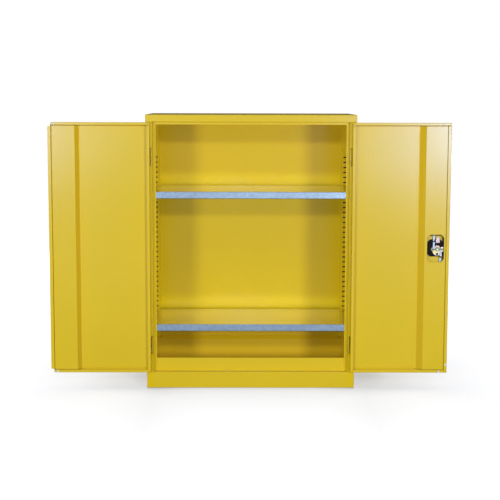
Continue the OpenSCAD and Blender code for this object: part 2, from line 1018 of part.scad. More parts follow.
module housing_screws() {
    u = housing_shift[0] - housing_w / 2 + screw_in;
    color(black_plastic)
        for (z = [-1, 1])
            at_lock(housing_plate_depth)
                translate([u, housing_shift[1] + z * (housing_h / 2 - housing_chamfer - screw_in)])
                    difference() {
                        cylinder(r = screw_r, h = screw_h);
                        translate([0, 0, screw_h])
                            cube([2 * screw_r + cut, 1, screw_h], center = true);
                    }
}

// Slotted plates that guide the rods behind the door's top and bottom edges
module rod_guides() {
    color(black_plastic)
        on_right_door()
            for (z = [door_bottom + door_sheet_t, door_top - door_sheet_t - guide_t])
                difference() {
                    box(
                        [lock_u - guide_w / 2, rod_depth - guide_d / 2, z],
                        [lock_u + guide_w / 2, rod_depth + guide_d / 2, z + guide_t]
                    );
                    box(
                        [lock_u - guide_slot_w / 2, rod_depth - guide_slot_d / 2, z - cut],
                        [lock_u + guide_slot_w / 2, rod_depth + guide_slot_d / 2, z + guide_t + cut]
                    );
                }
}

// Rotor in the dish, finger blade, and boss that holds the key cylinder
module lock_handle() {
    color(black_plastic)
        difference() {
            union() {
                at_lock(rotor_depth)
                    cylinder(r = dish_r - rotor_gap, h = rotor_t);
                at_lock(-handle_proud)
                    cylinder(r = boss_r, h = handle_proud + rotor_depth);
                at_lock(-handle_proud)
                    translate([-blade_w / 2, -blade_r])
                        linear_extrude(handle_proud + rotor_depth)
                            rounded_rect(blade_w, 2 * blade_r, blade_w / 2 - 0.5);
            }
            at_lock(-handle_proud - cut)
                cylinder(r = cylinder_r + cylinder_clear, h = cylinder_l + cut);
            at_lock(rotor_depth - spindle_square / 2)
                linear_extrude(spindle_square)
                    square_hole(spindle_square + 2 * square_clear);
        }
}

module key_cylinder() {
    color(zinc)
        difference() {
            at_lock(-cylinder_proud)
                cylinder(r = cylinder_r, h = cylinder_proud - handle_proud + cylinder_l - journal_clear);
            at_lock(-cylinder_proud)
                cube([keyway_w, cylinder_r * 1.2, cylinder_l], center = true);
        }
}

// Square in the handle, round journal in the housing, square through cam and tongue, threaded end
module lock_spindle() {
    square_start = rotor_depth - spindle_square / 2 + 0.2;
    journal_start = dish_depth - rotor_gap;
    color(zinc)
        union() {
            at_lock(square_start)
                translate([-spindle_square / 2, -spindle_square / 2])
                    cube([spindle_square, spindle_square, tongue_top - square_start]);
            at_lock(journal_start)
                cylinder(r = journal_r, h = cam_depth - journal_start);
            at_lock(tongue_top)
                cylinder(r = stud_r, h = nut_top + stud_proud - tongue_top);
        }
}

module cam_plan() {
    hub_r = 12;
    lobe_r = 20;
    lobe_drop = 7;
    arm_h = 14;
    left_end_r = 7;
    left_end = cam_throw + 4;
    pad_w = 11;
    pad_h = 20;
    pad_out = cam_throw + 11;
    circle(hub_r);
    translate([0, hub_r - 4])
        circle(hub_r - 2);
    translate([-left_end, -arm_h / 2])
        square([left_end + pad_out - pad_w / 2, arm_h]);
    translate([-left_end, 0])
        circle(left_end_r);
    translate([pad_out - pad_w, -pad_h / 2])
        rounded_rect(pad_w, pad_h, 2);
    intersection() {
        translate([0, -lobe_drop])
            circle(lobe_r);
        translate([-lobe_r, -2 * lobe_r])
            square([2 * lobe_r, 2 * lobe_r]);
    }
}

module square_hole(side) {
    translate([-side / 2, -side / 2])
        square(side);
}

module cam_plate() {
    lobe_hole_r = 4;
    lobe_hole_drop = 20.5;
    color(yellow_zinc)
        at_lock(cam_depth)
            linear_extrude(cam_t)
                difference() {
                    cam_plan();
                    square_hole(spindle_square + 2 * square_clear);
                    translate([0, -lobe_hole_drop])
                        circle(lobe_hole_r);
                }
}

// Cranked tongue that swings over the stiffener and catches behind the astragal
module lock_tongue() {
    crank_start = 22;
    crank_end = 30;
    base_w = tongue_w - 3;
    nose_r = 1.6 * tongue_w;
    nose_l = sqrt(pow(nose_r, 2) - pow(nose_r - tongue_w / 2, 2));
    color(yellow_zinc)
        difference() {
            intersection() {
                on_right_door()
                    translate([lock_u + tongue_w / 2, 0, lock_z])
                        rotate([0, -90, 0])
                            folded_sheet(
                                [
                                    [-tongue_w / 2 - 2, cam_top], [crank_start, cam_top],
                                    [crank_end, tongue_tip], [tongue_reach + 2, tongue_tip]
                                ],
                                tongue_w, tongue_t
                            );
                at_lock(0)
                    linear_extrude(tongue_tip + 2 * tongue_t) {
                        circle(base_w / 2 + 2);
                        translate([-base_w / 2, 0])
                            square([base_w, crank_end]);
                        translate([-tongue_w / 2, crank_end - 3])
                            square([tongue_w, tongue_reach - nose_l - crank_end + 3]);
                        translate([0, tongue_reach - nose_l])
                            intersection() {
                                translate([nose_r - tongue_w / 2, 0])
                                    circle(nose_r);
                                translate([tongue_w / 2 - nose_r, 0])
                                    circle(nose_r);
                                translate([-tongue_w, -cut])
                                    square(2 * tongue_w);
                            }
                    }
            }
            at_lock(cam_top - cut)
                linear_extrude(tongue_t + 2 * cut)
                    square_hole(spindle_square + 2 * square_clear);
        }
}

module cam_nut() {
    color(zinc)
        difference() {
            union() {
                at_lock(tongue_top)
                    cylinder(r = washer_r, h = washer_t);
                at_lock(tongue_top + washer_t)
                    cylinder(r = nut_r, h = nut_t, $fn = 6);
            }
            at_lock(tongue_top - cut)
                cylinder(r = stud_r + journal_clear, h = washer_t + nut_t + 2 * cut);
        }
}

// Headed studs on the cam plate that carry the rods
module rod_pins() {
    shank = rod_t + 2 * plate_gap;
    color(zinc)
        for (side = [-1, 1])
            at_lock(cam_top)
                translate([side * cam_throw, 0]) {
                    cylinder(r = rod_pin_r, h = shank);
                    translate([0, 0, shank])
                        cylinder(r = rod_w / 2 - plate_gap, h = pin_head_h);
                }
}

// Flat rod from its cam pin to the door's edge, cranked down beyond the housing's boss
module rod(reach) {
    tilt = atan(cam_throw / reach);
    length = norm([reach, cam_throw]) - rod_back;
    path = [
        [0, rod_high], [crank_from, rod_high], [crank_from + rod_crank, rod_low], [length, rod_low]
    ];
    translate([-cam_throw, 0, 0])
        rotate([0, tilt, 0])
            difference() {
                union() {
                    translate([rod_w / 2, 0, 0])
                        rotate([0, -90, 0])
                            folded_sheet(path, rod_w, rod_t);
                    translate([0, rod_high, 0])
                        along_y()
                            cylinder(r = rod_w / 2, h = rod_t);
                }
                translate([0, rod_high - cut, 0])
                    along_y()
                        cylinder(r = rod_pin_r + pin_clear, h = rod_t + 2 * cut);
            }
}

module upper_rod() {
    color(galvanised)
        on_right_door()
            translate([lock_u, 0, lock_z])
                rod(upper_reach);
}

module lower_rod() {
    color(galvanised)
        on_right_door()
            translate([lock_u, 0, lock_z])
                rotate([0, 180, 0])
                    rod(lower_reach);
}

left_side_panel();
right_side_panel();
back_panel();
top_panel();
plinth();
sump_tray();
left_rear_upright();
right_rear_upright();
left_front_upright();
right_front_upright();
upper_shelf_clips();
lower_shelf_clips();
upper_shelf();
lower_shelf();
left_hinge_frame_knuckles();
right_hinge_frame_knuckles();
left_hinge_pins();
right_hinge_pins();
left_hinge_door_knuckles();
right_hinge_door_knuckles();
left_door_panel();
left_door_stiffener();
left_astragal();
left_door_buffers();
right_door_panel();
right_door_stiffener();
right_door_buffers();
lock_housing();
housing_screws();
rod_guides();
lock_handle();
lock_spindle();
cam_plate();
lock_tongue();
cam_nut();
rod_pins();
upper_rod();
lower_rod();
key_cylinder();
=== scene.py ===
import json
import math

import bmesh
import bpy
from mathutils import Matrix, Vector


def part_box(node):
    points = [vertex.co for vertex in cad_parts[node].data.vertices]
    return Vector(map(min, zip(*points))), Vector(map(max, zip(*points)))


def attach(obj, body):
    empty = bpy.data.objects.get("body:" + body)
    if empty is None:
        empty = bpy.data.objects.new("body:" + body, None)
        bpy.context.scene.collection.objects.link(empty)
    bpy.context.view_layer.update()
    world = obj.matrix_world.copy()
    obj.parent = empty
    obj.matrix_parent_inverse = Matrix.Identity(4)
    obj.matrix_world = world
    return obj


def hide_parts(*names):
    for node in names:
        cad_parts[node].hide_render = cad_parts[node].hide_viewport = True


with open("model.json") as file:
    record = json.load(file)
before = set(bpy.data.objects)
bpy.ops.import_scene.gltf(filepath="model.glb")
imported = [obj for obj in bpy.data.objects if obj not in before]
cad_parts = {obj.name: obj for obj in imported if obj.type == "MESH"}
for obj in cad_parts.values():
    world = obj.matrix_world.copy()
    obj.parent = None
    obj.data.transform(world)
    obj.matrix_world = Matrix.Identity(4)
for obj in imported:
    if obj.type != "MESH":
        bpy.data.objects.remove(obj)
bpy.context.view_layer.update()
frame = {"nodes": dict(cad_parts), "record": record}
nodes = frame["nodes"]
scene = bpy.context.scene
scene.view_settings.view_transform = "Standard"
MM = 0.001

# Sizes shared with the solids, in metres
# A door's face is the outside of its sheet, and its back is the plane of its lips
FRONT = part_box("top_panel")[0].y
HINGE_X = (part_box("right_hinge_pins")[0].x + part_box("right_hinge_pins")[1].x) / 2
DOOR_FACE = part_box("right_door_panel")[1].y
DOOR_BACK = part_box("right_door_panel")[0].y
DOOR_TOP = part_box("right_door_panel")[1].z
DOOR_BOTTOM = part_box("right_door_panel")[0].z
DOOR_LIP = 12 * MM
SHEET_INSIDE = DOOR_FACE - 1 * MM
SHADOW_GAP = 1.3 * MM
FOOT_W = 13 * MM
FOOT_FACE = DOOR_FACE - 2.2 * MM
RIGHT_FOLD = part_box("right_door_stiffener")[0].x + FOOT_W
LEFT_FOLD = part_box("left_door_stiffener")[1].x - FOOT_W
LOCK_X = (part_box("lock_spindle")[0].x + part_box("lock_spindle")[1].x) / 2
LOCK_Z = (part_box("lock_spindle")[0].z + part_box("lock_spindle")[1].z) / 2
WINDOW_X = LOCK_X - 6 * MM
WINDOW_Z = LOCK_Z + 4.5 * MM


def add_object(name, data):
    made = bpy.data.objects.new(name, data)
    scene.collection.objects.link(made)
    return made


# Steps that shader trees share

def link_math(tree, operation, first, second=0):
    node = tree.nodes.new("ShaderNodeMath")
    node.operation = operation
    for socket, value in zip(node.inputs, (first, second)):
        if isinstance(value, (int, float)):
            socket.default_value = value
        else:
            tree.links.new(value, socket)
    return node.outputs[0]


def chain_math(tree, operation, values):
    result, *others = values
    for value in others:
        result = link_math(tree, operation, result, value)
    return result


def any_of(tree, *masks):
    return chain_math(tree, "MAXIMUM", masks)


def all_of(tree, *masks):
    return chain_math(tree, "MULTIPLY", masks)


def within(tree, value, middle, reach):
    """1 where the value is no further than the reach from the middle."""
    node = tree.nodes.new("ShaderNodeMath")
    node.operation = "COMPARE"
    tree.links.new(value, node.inputs[0])
    node.inputs[1].default_value = middle
    node.inputs[2].default_value = reach
    return node.outputs[0]


def rising(tree, value, start, end):
    """0 before start, 1 after end."""
    node = tree.nodes.new("ShaderNodeMapRange")
    node.inputs["From Min"].default_value = start
    node.inputs["From Max"].default_value = end
    tree.links.new(value, node.inputs["Value"])
    return node.outputs["Result"]


def object_point(tree, stretch=None):
    """Object coordinates in metres, stretched along an axis if asked."""
    point = tree.nodes.new("ShaderNodeTexCoord").outputs["Object"]
    if stretch is None:
        return point
    mapping = tree.nodes.new("ShaderNodeMapping")
    mapping.inputs["Scale"].default_value = stretch
    tree.links.new(point, mapping.inputs["Vector"])
    return mapping.outputs["Vector"]


def split_vector(tree, vector):
    node = tree.nodes.new("ShaderNodeSeparateXYZ")
    tree.links.new(vector, node.inputs[0])
    return node.outputs


def place_of(tree):
    """X, Y and Z of the point on the piece."""
    return split_vector(tree, object_point(tree))


def normal_of(tree):
    """X, Y and Z of the way that the surface faces."""
    return split_vector(tree, tree.nodes.new("ShaderNodeNewGeometry").outputs["Normal"])


def noise(tree, point, scale, detail):
    node = tree.nodes.new("ShaderNodeTexNoise")
    node.inputs["Detail"].default_value = detail
    if isinstance(scale, (int, float)):
        node.inputs["Scale"].default_value = scale
    else:
        tree.links.new(scale, node.inputs["Scale"])
    tree.links.new(point, node.inputs["Vector"])
    return node.outputs["Fac"]


def colour_stops(tree, mask, stops):
    """Colour read off a ramp with these stops."""
    ramp = tree.nodes.new("ShaderNodeValToRGB")
    elements = ramp.color_ramp.elements
    while len(elements) < len(stops):
        elements.new(1)
    for element, (position, colour) in zip(elements, stops):
        element.position = position
        element.color = (*colour, 1)
    tree.links.new(mask, ramp.inputs["Fac"])
    return ramp.outputs["Color"]


# Camera, from the photograph's perspective

PHOTO_FOCAL = 1228.7
PHOTO_WIDTH = 500
SENSOR = 36
CAMERA_PLACE = (-35.1 * MM, FRONT - 5.324, 1.2815)
CAMERA_PITCH = 0.12488
CAMERA_ROLL = 0.0024
CAMERA_YAW = -0.00586
FAR_CLIP = 60


def add_camera():
    data = bpy.data.cameras.new("photo_camera")
    data.sensor_width = SENSOR
    data.lens = SENSOR * PHOTO_FOCAL / PHOTO_WIDTH
    data.clip_end = FAR_CLIP
    camera = add_object("photo_camera", data)
    camera.matrix_world = (
        Matrix.Translation(CAMERA_PLACE)
        @ Matrix.Rotation(CAMERA_YAW, 4, "Z")
        @ Matrix.Rotation(math.pi / 2 - CAMERA_PITCH, 4, "X")
        @ Matrix.Rotation(CAMERA_ROLL, 4, "Z")
    )
    scene.camera = camera


# Light

AIM = Vector((0, 0, 0.7))
# Name, place, size and power of each lamp
SOFTBOXES = (
    ("left_softbox", (-2.30, -5.2, 1.08), (0.75, 0.5), 99),
    ("right_softbox", (2.17, -5.2, 1.08), (0.75, 0.5), 107),
    ("overhead_softbox", (0, -6.48, 2.52), (0.5, 0.35), 98),
    ("rear_left_softbox", (-2.9, 4.2, 1.15), (1.2, 0.8), 105),
    ("rear_right_softbox", (2.9, 4.2, 1.15), (1.2, 0.8), 105),
)
SHEEN_PANELS = (
    ("left_sheen_panel", (-1.45, -5.2, 0.97), (0.9, 0.45), 7.5),
    ("right_sheen_panel", (1.575, -5.2, 0.94), (1.05, 0.74), 35),
    ("front_sheen_panel", (0, -5.3, 0.42), (0.4, 0.5), 1.3),
)
# Shelf and power of each glint
SHELF_GLINTS = (("upper_shelf", 0.030), ("lower_shelf", 0.026))
GLINT_COLOUR = (0.9, 1, 1)
GLINT_INSET = 20 * MM
GLINT_HEIGHT = 6 * MM
GLINT_SPREAD = math.radians(13)
GLINT_TILT = math.radians(3)
AMBIENT = 0.11


def add_lamp(name, place, size, power):
    data = bpy.data.lights.new(name, "AREA")
    data.shape = "RECTANGLE"
    data.size, data.size_y = size
    data.energy = power
    lamp = add_object(name, data)
    lamp.location = place
    return lamp


def add_softboxes():
    """Softboxes that light the object, and panels that only show as its sheen."""
    for box in SOFTBOXES + SHEEN_PANELS:
        lamp = add_lamp(*box)
        lamp.rotation_euler = (AIM - lamp.location).to_track_quat("-Z", "Y").to_euler()
        lamp.visible_diffuse = box in SOFTBOXES


def add_shelf_glints():
    """Narrow lamps for the light that each bright shelf throws on the foot of the back panel."""
    for shelf, power in SHELF_GLINTS:
        low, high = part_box(shelf)
        size = (high.x - low.x - GLINT_INSET, GLINT_HEIGHT)
        lamp = add_lamp(shelf + "_glint", (0, low.y + GLINT_INSET, high.z + GLINT_HEIGHT), size, power)
        lamp.data.spread = GLINT_SPREAD
        lamp.data.color = GLINT_COLOUR
        lamp.rotation_euler = (math.pi / 2 + GLINT_TILT, 0, 0)
        lamp.visible_glossy = False


def seen_directly(tree):
    """1 for camera, glossy and transmission rays, 0 for the rays that light the object."""
    path = tree.nodes.new("ShaderNodeLightPath").outputs
    return any_of(tree, path["Is Camera Ray"], path["Is Glossy Ray"], path["Is Transmission Ray"])


def add_world():
    world = bpy.data.worlds.new("white_studio")
    scene.world = world
    world.use_nodes = True
    tree = world.node_tree
    tree.nodes.clear()
    strength = tree.nodes.new("ShaderNodeMapRange")
    strength.inputs["To Min"].default_value = AMBIENT
    strength.inputs["To Max"].default_value = 1
    sky = tree.nodes.new("ShaderNodeBackground")
    sky.inputs["Color"].default_value = (1, 1, 1, 1)
    out = tree.nodes.new("ShaderNodeOutputWorld")
    tree.links.new(seen_directly(tree), strength.inputs["Value"])
    tree.links.new(strength.outputs["Result"], sky.inputs["Strength"])
    tree.links.new(sky.outputs["Background"], out.inputs["Surface"])


# Floor

FLOOR_REACH = 14
PAPER = (0.297, 0.312, 0.366, 1)
GLOW_SPAN = 3
# Distance from the base in metres, and the paper's glow there; the glow's dip near the base is a painted
# contact shadow
FLOOR_GLOW = (
    (0, 0.1), (0.006, 0.28), (0.018, 0.58), (0.053, 0.69), (0.106, 0.765),
    (0.23, 0.825), (0.5, 0.89), (1.2, 0.96), (GLOW_SPAN, 1),
)
# The painted shade beside the base: where its middle lies, how it starts off the base and how it fades
# sideways
SHADE_SHIFT = 0.04
SHADE_START = 0.0130
SHADE_SLOPE = 0.03
SHADE_FADE = 0.5
SHADE_FADE_GROWTH = 1.5
# The painted shade off the base's corners: its half width, and the share that it takes off the distance
CORNER_REACH = 0.22
CORNER_PULL = 0.55


def squared(tree, value):
    return link_math(tree, "MULTIPLY", value, value)


def away_from_base(tree):
    """Distance over the floor from the base, counted less under the doors and off the corners, which
    shapes the painted shadow.
    """
    place = place_of(tree)
    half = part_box("plinth")[1]
    across = link_math(tree, "ABSOLUTE", link_math(tree, "SUBTRACT", place["X"], SHADE_SHIFT))
    past_edge = link_math(tree, "SUBTRACT", across, half.x)
    spread = squared(tree, link_math(tree, "MAXIMUM", past_edge, 0))
    fade = link_math(tree, "ADD", link_math(tree, "MULTIPLY", spread, SHADE_FADE_GROWTH), SHADE_FADE)
    depth = link_math(tree, "ABSOLUTE", place["Y"])
    start = link_math(tree, "ADD", link_math(tree, "MULTIPLY", depth, SHADE_SLOPE), SHADE_START)
    beside = link_math(tree, "GREATER_THAN", link_math(tree, "ABSOLUTE", place["X"]), half.x)
    side = link_math(tree, "ADD", all_of(tree, beside, start), all_of(tree, spread, fade))
    ahead = link_math(tree, "MAXIMUM", link_math(tree, "SUBTRACT", depth, half.y), 0)
    corner = rising(tree, link_math(tree, "ABSOLUTE", past_edge), CORNER_REACH, 0)
    pull = link_math(tree, "SUBTRACT", 1, link_math(tree, "MULTIPLY", corner, CORNER_PULL))
    ahead = all_of(tree, ahead, pull)
    return link_math(tree, "SQRT", link_math(tree, "ADD", squared(tree, side), squared(tree, ahead)))


def floor_glow(tree):
    """Glow that whitens the paper, dimmed near the base as a painted contact shadow over the paper's real
    one.
    """
    stops = [(distance / GLOW_SPAN, (glow,) * 3) for distance, glow in FLOOR_GLOW]
    ramp = colour_stops(tree, link_math(tree, "DIVIDE", away_from_base(tree), GLOW_SPAN), stops)
    return all_of(tree, ramp, seen_directly(tree))


def paper_material():
    material = bpy.data.materials.new("white_paper")
    material.use_nodes = True
    tree = material.node_tree
    tree.nodes.clear()
    paper = tree.nodes.new("ShaderNodeBsdfDiffuse")
    paper.inputs["Color"].default_value = PAPER
    glow = tree.nodes.new("ShaderNodeEmission")
    both = tree.nodes.new("ShaderNodeAddShader")
    out = tree.nodes.new("ShaderNodeOutputMaterial")
    tree.links.new(floor_glow(tree), glow.inputs["Strength"])
    tree.links.new(paper.outputs[0], both.inputs[0])
    tree.links.new(glow.outputs[0], both.inputs[1])
    tree.links.new(both.outputs[0], out.inputs["Surface"])
    return material


def add_floor():
    reach = FLOOR_REACH
    corners = [(-reach, -reach, 0), (reach, -reach, 0), (reach, reach, 0), (-reach, reach, 0)]
    mesh = bpy.data.meshes.new("studio_floor")
    mesh.from_pydata(corners, [], [(0, 1, 2, 3)])
    mesh.materials.append(paper_material())
    add_object("studio_floor", mesh)


# Shader groups that the materials share

CRYSTAL_WOBBLE = 0.012
WOBBLE_SCALE = 60
SHEET_CLOUD_SCALE = 6.0
LINE_STRETCH = (1, 1, 0.04)
BLOOM_SCALE = 40.0


def new_group(name, inputs, outputs):
    """Group with float inputs, given with their values, and float outputs."""
    group = bpy.data.node_groups.new(name, "ShaderNodeTree")
    for socket, value in inputs.items():
        made = group.interface.new_socket(socket, in_out="INPUT", socket_type="NodeSocketFloat")
        made.default_value = value
    for socket in outputs:
        group.interface.new_socket(socket, in_out="OUTPUT", socket_type="NodeSocketFloat")
    return group, group.nodes.new("NodeGroupInput").outputs, group.nodes.new("NodeGroupOutput").inputs


def powder_coat_group():
    """Orange peel of sprayed powder: fine height, and a slow drift of tone."""
    group, given, made = new_group(
        "powder_coat", {"Peel Scale": 420.0, "Drift Scale": 2.2}, ("Peel", "Drift")
    )
    point = object_point(group)
    group.links.new(noise(group, point, given["Peel Scale"], detail=2.0), made["Peel"])
    group.links.new(noise(group, point, given["Drift Scale"], detail=3.0), made["Drift"])
    return group


def spangle_group():
    """Frost-flower crystals of hot-dip zinc: one tone per crystal, with soft edges."""
    group, given, made = new_group("zinc_spangle", {"Crystals": 90.0}, ("Tone", "Edge", "Cloud"))
    point = object_point(group)
    wobble = group.nodes.new("ShaderNodeTexNoise")
    wobble.inputs["Scale"].default_value = WOBBLE_SCALE
    group.links.new(point, wobble.inputs["Vector"])
    moved = group.nodes.new("ShaderNodeMixRGB")
    moved.blend_type = "ADD"
    moved.inputs["Fac"].default_value = CRYSTAL_WOBBLE
    group.links.new(point, moved.inputs["Color1"])
    group.links.new(wobble.outputs["Color"], moved.inputs["Color2"])
    cells = group.nodes.new("ShaderNodeTexVoronoi")
    group.links.new(given["Crystals"], cells.inputs["Scale"])
    group.links.new(moved.outputs["Color"], cells.inputs["Vector"])
    split = group.nodes.new("ShaderNodeSeparateColor")
    group.links.new(cells.outputs["Color"], split.inputs["Color"])
    group.links.new(split.outputs["Red"], made["Tone"])
    group.links.new(cells.outputs["Distance"], made["Edge"])
    group.links.new(noise(group, point, SHEET_CLOUD_SCALE, detail=4.0), made["Cloud"])
    return group


def drawn_metal_group():
    """Fine lines left by rolling and cutting, and a cloudy tone."""
    group, given, made = new_group(
        "drawn_metal", {"Line Scale": 700.0, "Cloud Scale": 55.0}, ("Lines", "Cloud")
    )
    along = object_point(group, LINE_STRETCH)
    group.links.new(noise(group, along, given["Line Scale"], detail=3.0), made["Lines"])
    point = object_point(group)
    group.links.new(noise(group, point, given["Cloud Scale"], detail=3.0), made["Cloud"])
    return group


def moulded_group():
    """Spark-eroded grain of moulded plastic and rubber."""
    group, given, made = new_group("moulded_grain", {"Grain Scale": 1500.0}, ("Grain", "Bloom"))
    point = object_point(group)
    group.links.new(noise(group, point, given["Grain Scale"], detail=2.0), made["Grain"])
    group.links.new(noise(group, point, BLOOM_SCALE, detail=3.0), made["Bloom"])
    return group


# Masks: places where shade or light is painted into a finish's colour, or where a finish is dull

# Least upward part of the normal on a level face
LEVEL = 0.97
# Middle and reach of the normal's part across a sloping or rounded face
WEB_TILT = 0.5, 0.42
FOLD_TILT = 0.52, 0.42
BEND_TILT = 0.52, 0.45
# Widths and places of the painted shade lines
SHEET_MARGIN = 0.4 * MM
FOOT_SHADE = 1.8 * MM
LIP_SHADE = 2.3 * MM
LIP_SHADE_DROP = 0.9 * MM
PAN_SHADE_TOP = 10 * MM
PAN_SHADE_DEPTH = 5 * MM
END_SHADE = 2.7 * MM
FREE_EDGE_SHADE = 2.3 * MM
LEAF_PLACE = 3.0 * MM
LEAF_SHADE = 2.5 * MM
ROD_SHADE_PLACE = 62 * MM
ROD_SHADE = 9 * MM
POCKET_REACH_X = 42 * MM
POCKET_REACH_Z = 66 * MM
# Where the painted shade under the lock window's rim starts and is full, from the window's middle
OUTER_RIM = 26 * MM, 31 * MM
UPPER_RIM = 50 * MM, 54 * MM
CORNER_RIM = 72 * MM, 78 * MM


def facing_up(tree):
    """Faces that look straight up."""
    return link_math(tree, "GREATER_THAN", normal_of(tree)["Z"], LEVEL)


def on_bend(tree):
    """The rounded fold between a shelf's top and its lip."""
    return within(tree, normal_of(tree)["Z"], *BEND_TILT)


def on_folds(tree):
    """The upright folds of the frame, tinted a little darker and duller as painted shade that dims their
    highlight.
    """
    return within(tree, link_math(tree, "ABSOLUTE", normal_of(tree)["X"]), *FOLD_TILT)


def on_slopes(tree):
    """The sloping web of a stiffener and the edge of its foot, where shade is painted."""
    side = place_of(tree)["X"]
    return any_of(
        tree,
        within(tree, link_math(tree, "ABSOLUTE", normal_of(tree)["X"]), *WEB_TILT),
        within(tree, side, RIGHT_FOLD - FOOT_SHADE, FOOT_SHADE),
        within(tree, side, LEFT_FOLD + FOOT_SHADE, FOOT_SHADE),
    )


def on_free_edge(tree):
    """The edge of the right stiffener beside its seam, where a line of shade is painted."""
    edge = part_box("right_door_stiffener")[1].x
    return link_math(tree, "GREATER_THAN", place_of(tree)["X"], edge - FREE_EDGE_SHADE)


def at_lower_end(tree):
    """The lower end of a stiffener, above the door's bottom lip, where shade is painted."""
    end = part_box("right_door_stiffener")[0].z
    return link_math(tree, "LESS_THAN", place_of(tree)["Z"], end + END_SHADE)


def under_top_lip(tree):
    """The painted line of shade where a door's top lip meets the sheet behind it."""
    place = place_of(tree)
    inside = link_math(tree, "LESS_THAN", place["Y"], SHEET_INSIDE + SHEET_MARGIN)
    return all_of(tree, inside, within(tree, place["Z"], DOOR_TOP - DOOR_LIP - LIP_SHADE_DROP, LIP_SHADE))


def on_inner_sheet(tree, place):
    return within(tree, place["Y"], SHEET_INSIDE, SHEET_MARGIN)


def above_bottom_lip(tree):
    """The painted shade at the foot of a door's sheet, behind its bottom lip."""
    place = place_of(tree)
    lip = DOOR_BOTTOM + DOOR_LIP
    shade = rising(tree, place["Z"], lip + PAN_SHADE_TOP, lip - PAN_SHADE_DEPTH)
    return all_of(tree, on_inner_sheet(tree, place), shade)


def in_lock_pocket(tree):
    """The door sheet under the upper and outer rim of the lock window, where the rim's shadow is painted.
    """
    place = place_of(tree)
    across = link_math(tree, "SUBTRACT", place["X"], WINDOW_X)
    up = link_math(tree, "SUBTRACT", place["Z"], WINDOW_Z)
    rim = any_of(
        tree,
        rising(tree, across, *OUTER_RIM),
        rising(tree, up, *UPPER_RIM),
        rising(tree, link_math(tree, "ADD", across, up), *CORNER_RIM),
    )
    return all_of(
        tree, rim, on_inner_sheet(tree, place),
        within(tree, across, 0, POCKET_REACH_X), within(tree, up, 0, POCKET_REACH_Z),
    )


def under_window_rim(tree):
    """The rod's end behind the upper rim of the lock window, where the rim's shadow is painted."""
    return within(tree, place_of(tree)["Z"], WINDOW_Z + ROD_SHADE_PLACE, ROD_SHADE)


def on_hinge_leaf(tree):
    """The leaf between the knuckle and the door's edge, darkened as painted shade."""
    return within(tree, link_math(tree, "ABSOLUTE", place_of(tree)["X"]), HINGE_X + LEAF_PLACE, LEAF_SHADE)


def in_sump(tree):
    """The rear of the sump, where the sill keeps the light off; its painted shade is tinted more orange.
    """
    return link_math(tree, "GREATER_THAN", place_of(tree)["Y"], 0)


def at_back_foot(tree):
    """The inner face of the back panel below the lower shelf, where its painted shade is tinted more
    orange.
    """
    low = link_math(tree, "LESS_THAN", place_of(tree)["Z"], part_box("lower_shelf")[0].z)
    return all_of(tree, low, link_math(tree, "LESS_THAN", normal_of(tree)["Y"], 0))


# Materials

COOL_SHEEN = (0.32, 0.52, 1, 1)
DULL = 0.7
ROD_SHADOW_TINT = (0.3, 0.3, 0.3)
PASSIVATED_CLOUDS = 130.0
NOISE_MIDDLE = 0.5
# Darkest and lightest tone of the powder coat
FULL_COAT = (0.678, 0.491, 0.0050), (0.709, 0.514, 0.0068)
# The back panel's darker tone is painted shade of the cabinet's inside
BACK_SHADED_COAT = (0.645, 0.463, 0.0050), (0.675, 0.485, 0.0060)
# The seam's dark brown coat is painted shade of the door's gap
SEAM_SHADE_COAT = (0.330, 0.190, 0.0018), (0.370, 0.212, 0.0022)
# Tint of the painted shade and least roughness, where a coat lies in shade or its highlight is dimmed
SLOPE_SHADE_TINT = (0.930, 0.866, 0.678), DULL
SUMP_SHADE_TINT = (1.0, 0.905, 1.0), 0.32
BACK_FOOT_SHADE_TINT = (1.0, 0.895, 1.0), 0.3
LEAF_SHADE_TINT = (0.375, 0.318, 0.508), DULL
POCKET_SHADE_TINT = (0.187, 0.169, 0.339), DULL
LIP_SHADE_TINT = (0.70, 0.62, 0.50), DULL
END_SHADE_TINT = (0.70, 0.66, 0.75), DULL
PAN_FOOT_SHADE_TINT = (0.84, 0.82, 0.9), 0.5
FOLD_SHADE_TINT = (0.97, 0.95, 0.9), 0.42
# Darkest and lightest tone of the other finishes
ZINC_LIP = (0.171, 0.239, 0.337), (0.206, 0.278, 0.379)
# The tops' brighter, yellow-tinged tone is painted light and painted reflection of the yellow cabinet
ZINC_TOP = (0.80, 0.765, 0.34), (0.84, 0.805, 0.38)
BRIGHT_ZINC = (0.19, 0.205, 0.23), (0.26, 0.275, 0.30)
OLIVE_ZINC = (0.05, 0.06, 0.035), (0.10, 0.115, 0.06)
ROD_STEEL = (0.125, 0.165, 0.235), (0.19, 0.23, 0.285)
BLACKENED = (0.008, 0.008, 0.009), (0.013, 0.013, 0.015)
BLACK_MOULDING = (0.0018, 0.0018, 0.0028), (0.0034, 0.0034, 0.0052)
RUBBER = (0.66, 0.74, 0.86), (0.74, 0.81, 0.90)
# Dark tone of the slot liners, painted shade behind the slots
SLOT_SHADE_DARK = (0.030, 0.018, 0.005), (0.040, 0.025, 0.007)
# Least and greatest roughness
PAINT_ROUGHNESS = 0.19, 0.22
SHEET_ROUGHNESS = 0.19, 0.24
PLAIN_METAL_ROUGHNESS = 0.4, 0.5
PASSIVATED_ROUGHNESS = 0.35, 0.45
ROD_ROUGHNESS = 0.36, 0.46
PLASTIC_ROUGHNESS = 0.42, 0.52
RUBBER_ROUGHNESS = 0.45, 0.6
SLOT_SHADE_ROUGHNESS = 0.6, 0.7
# Strength and depth of the grain
PEEL_GRAIN = 0.03, 0.3 * MM
SPANGLE_GRAIN = 0.02, 0.3 * MM
LINE_GRAIN = 0.08, 0.2 * MM
MOULDED_GRAIN = 0.2, 0.3 * MM
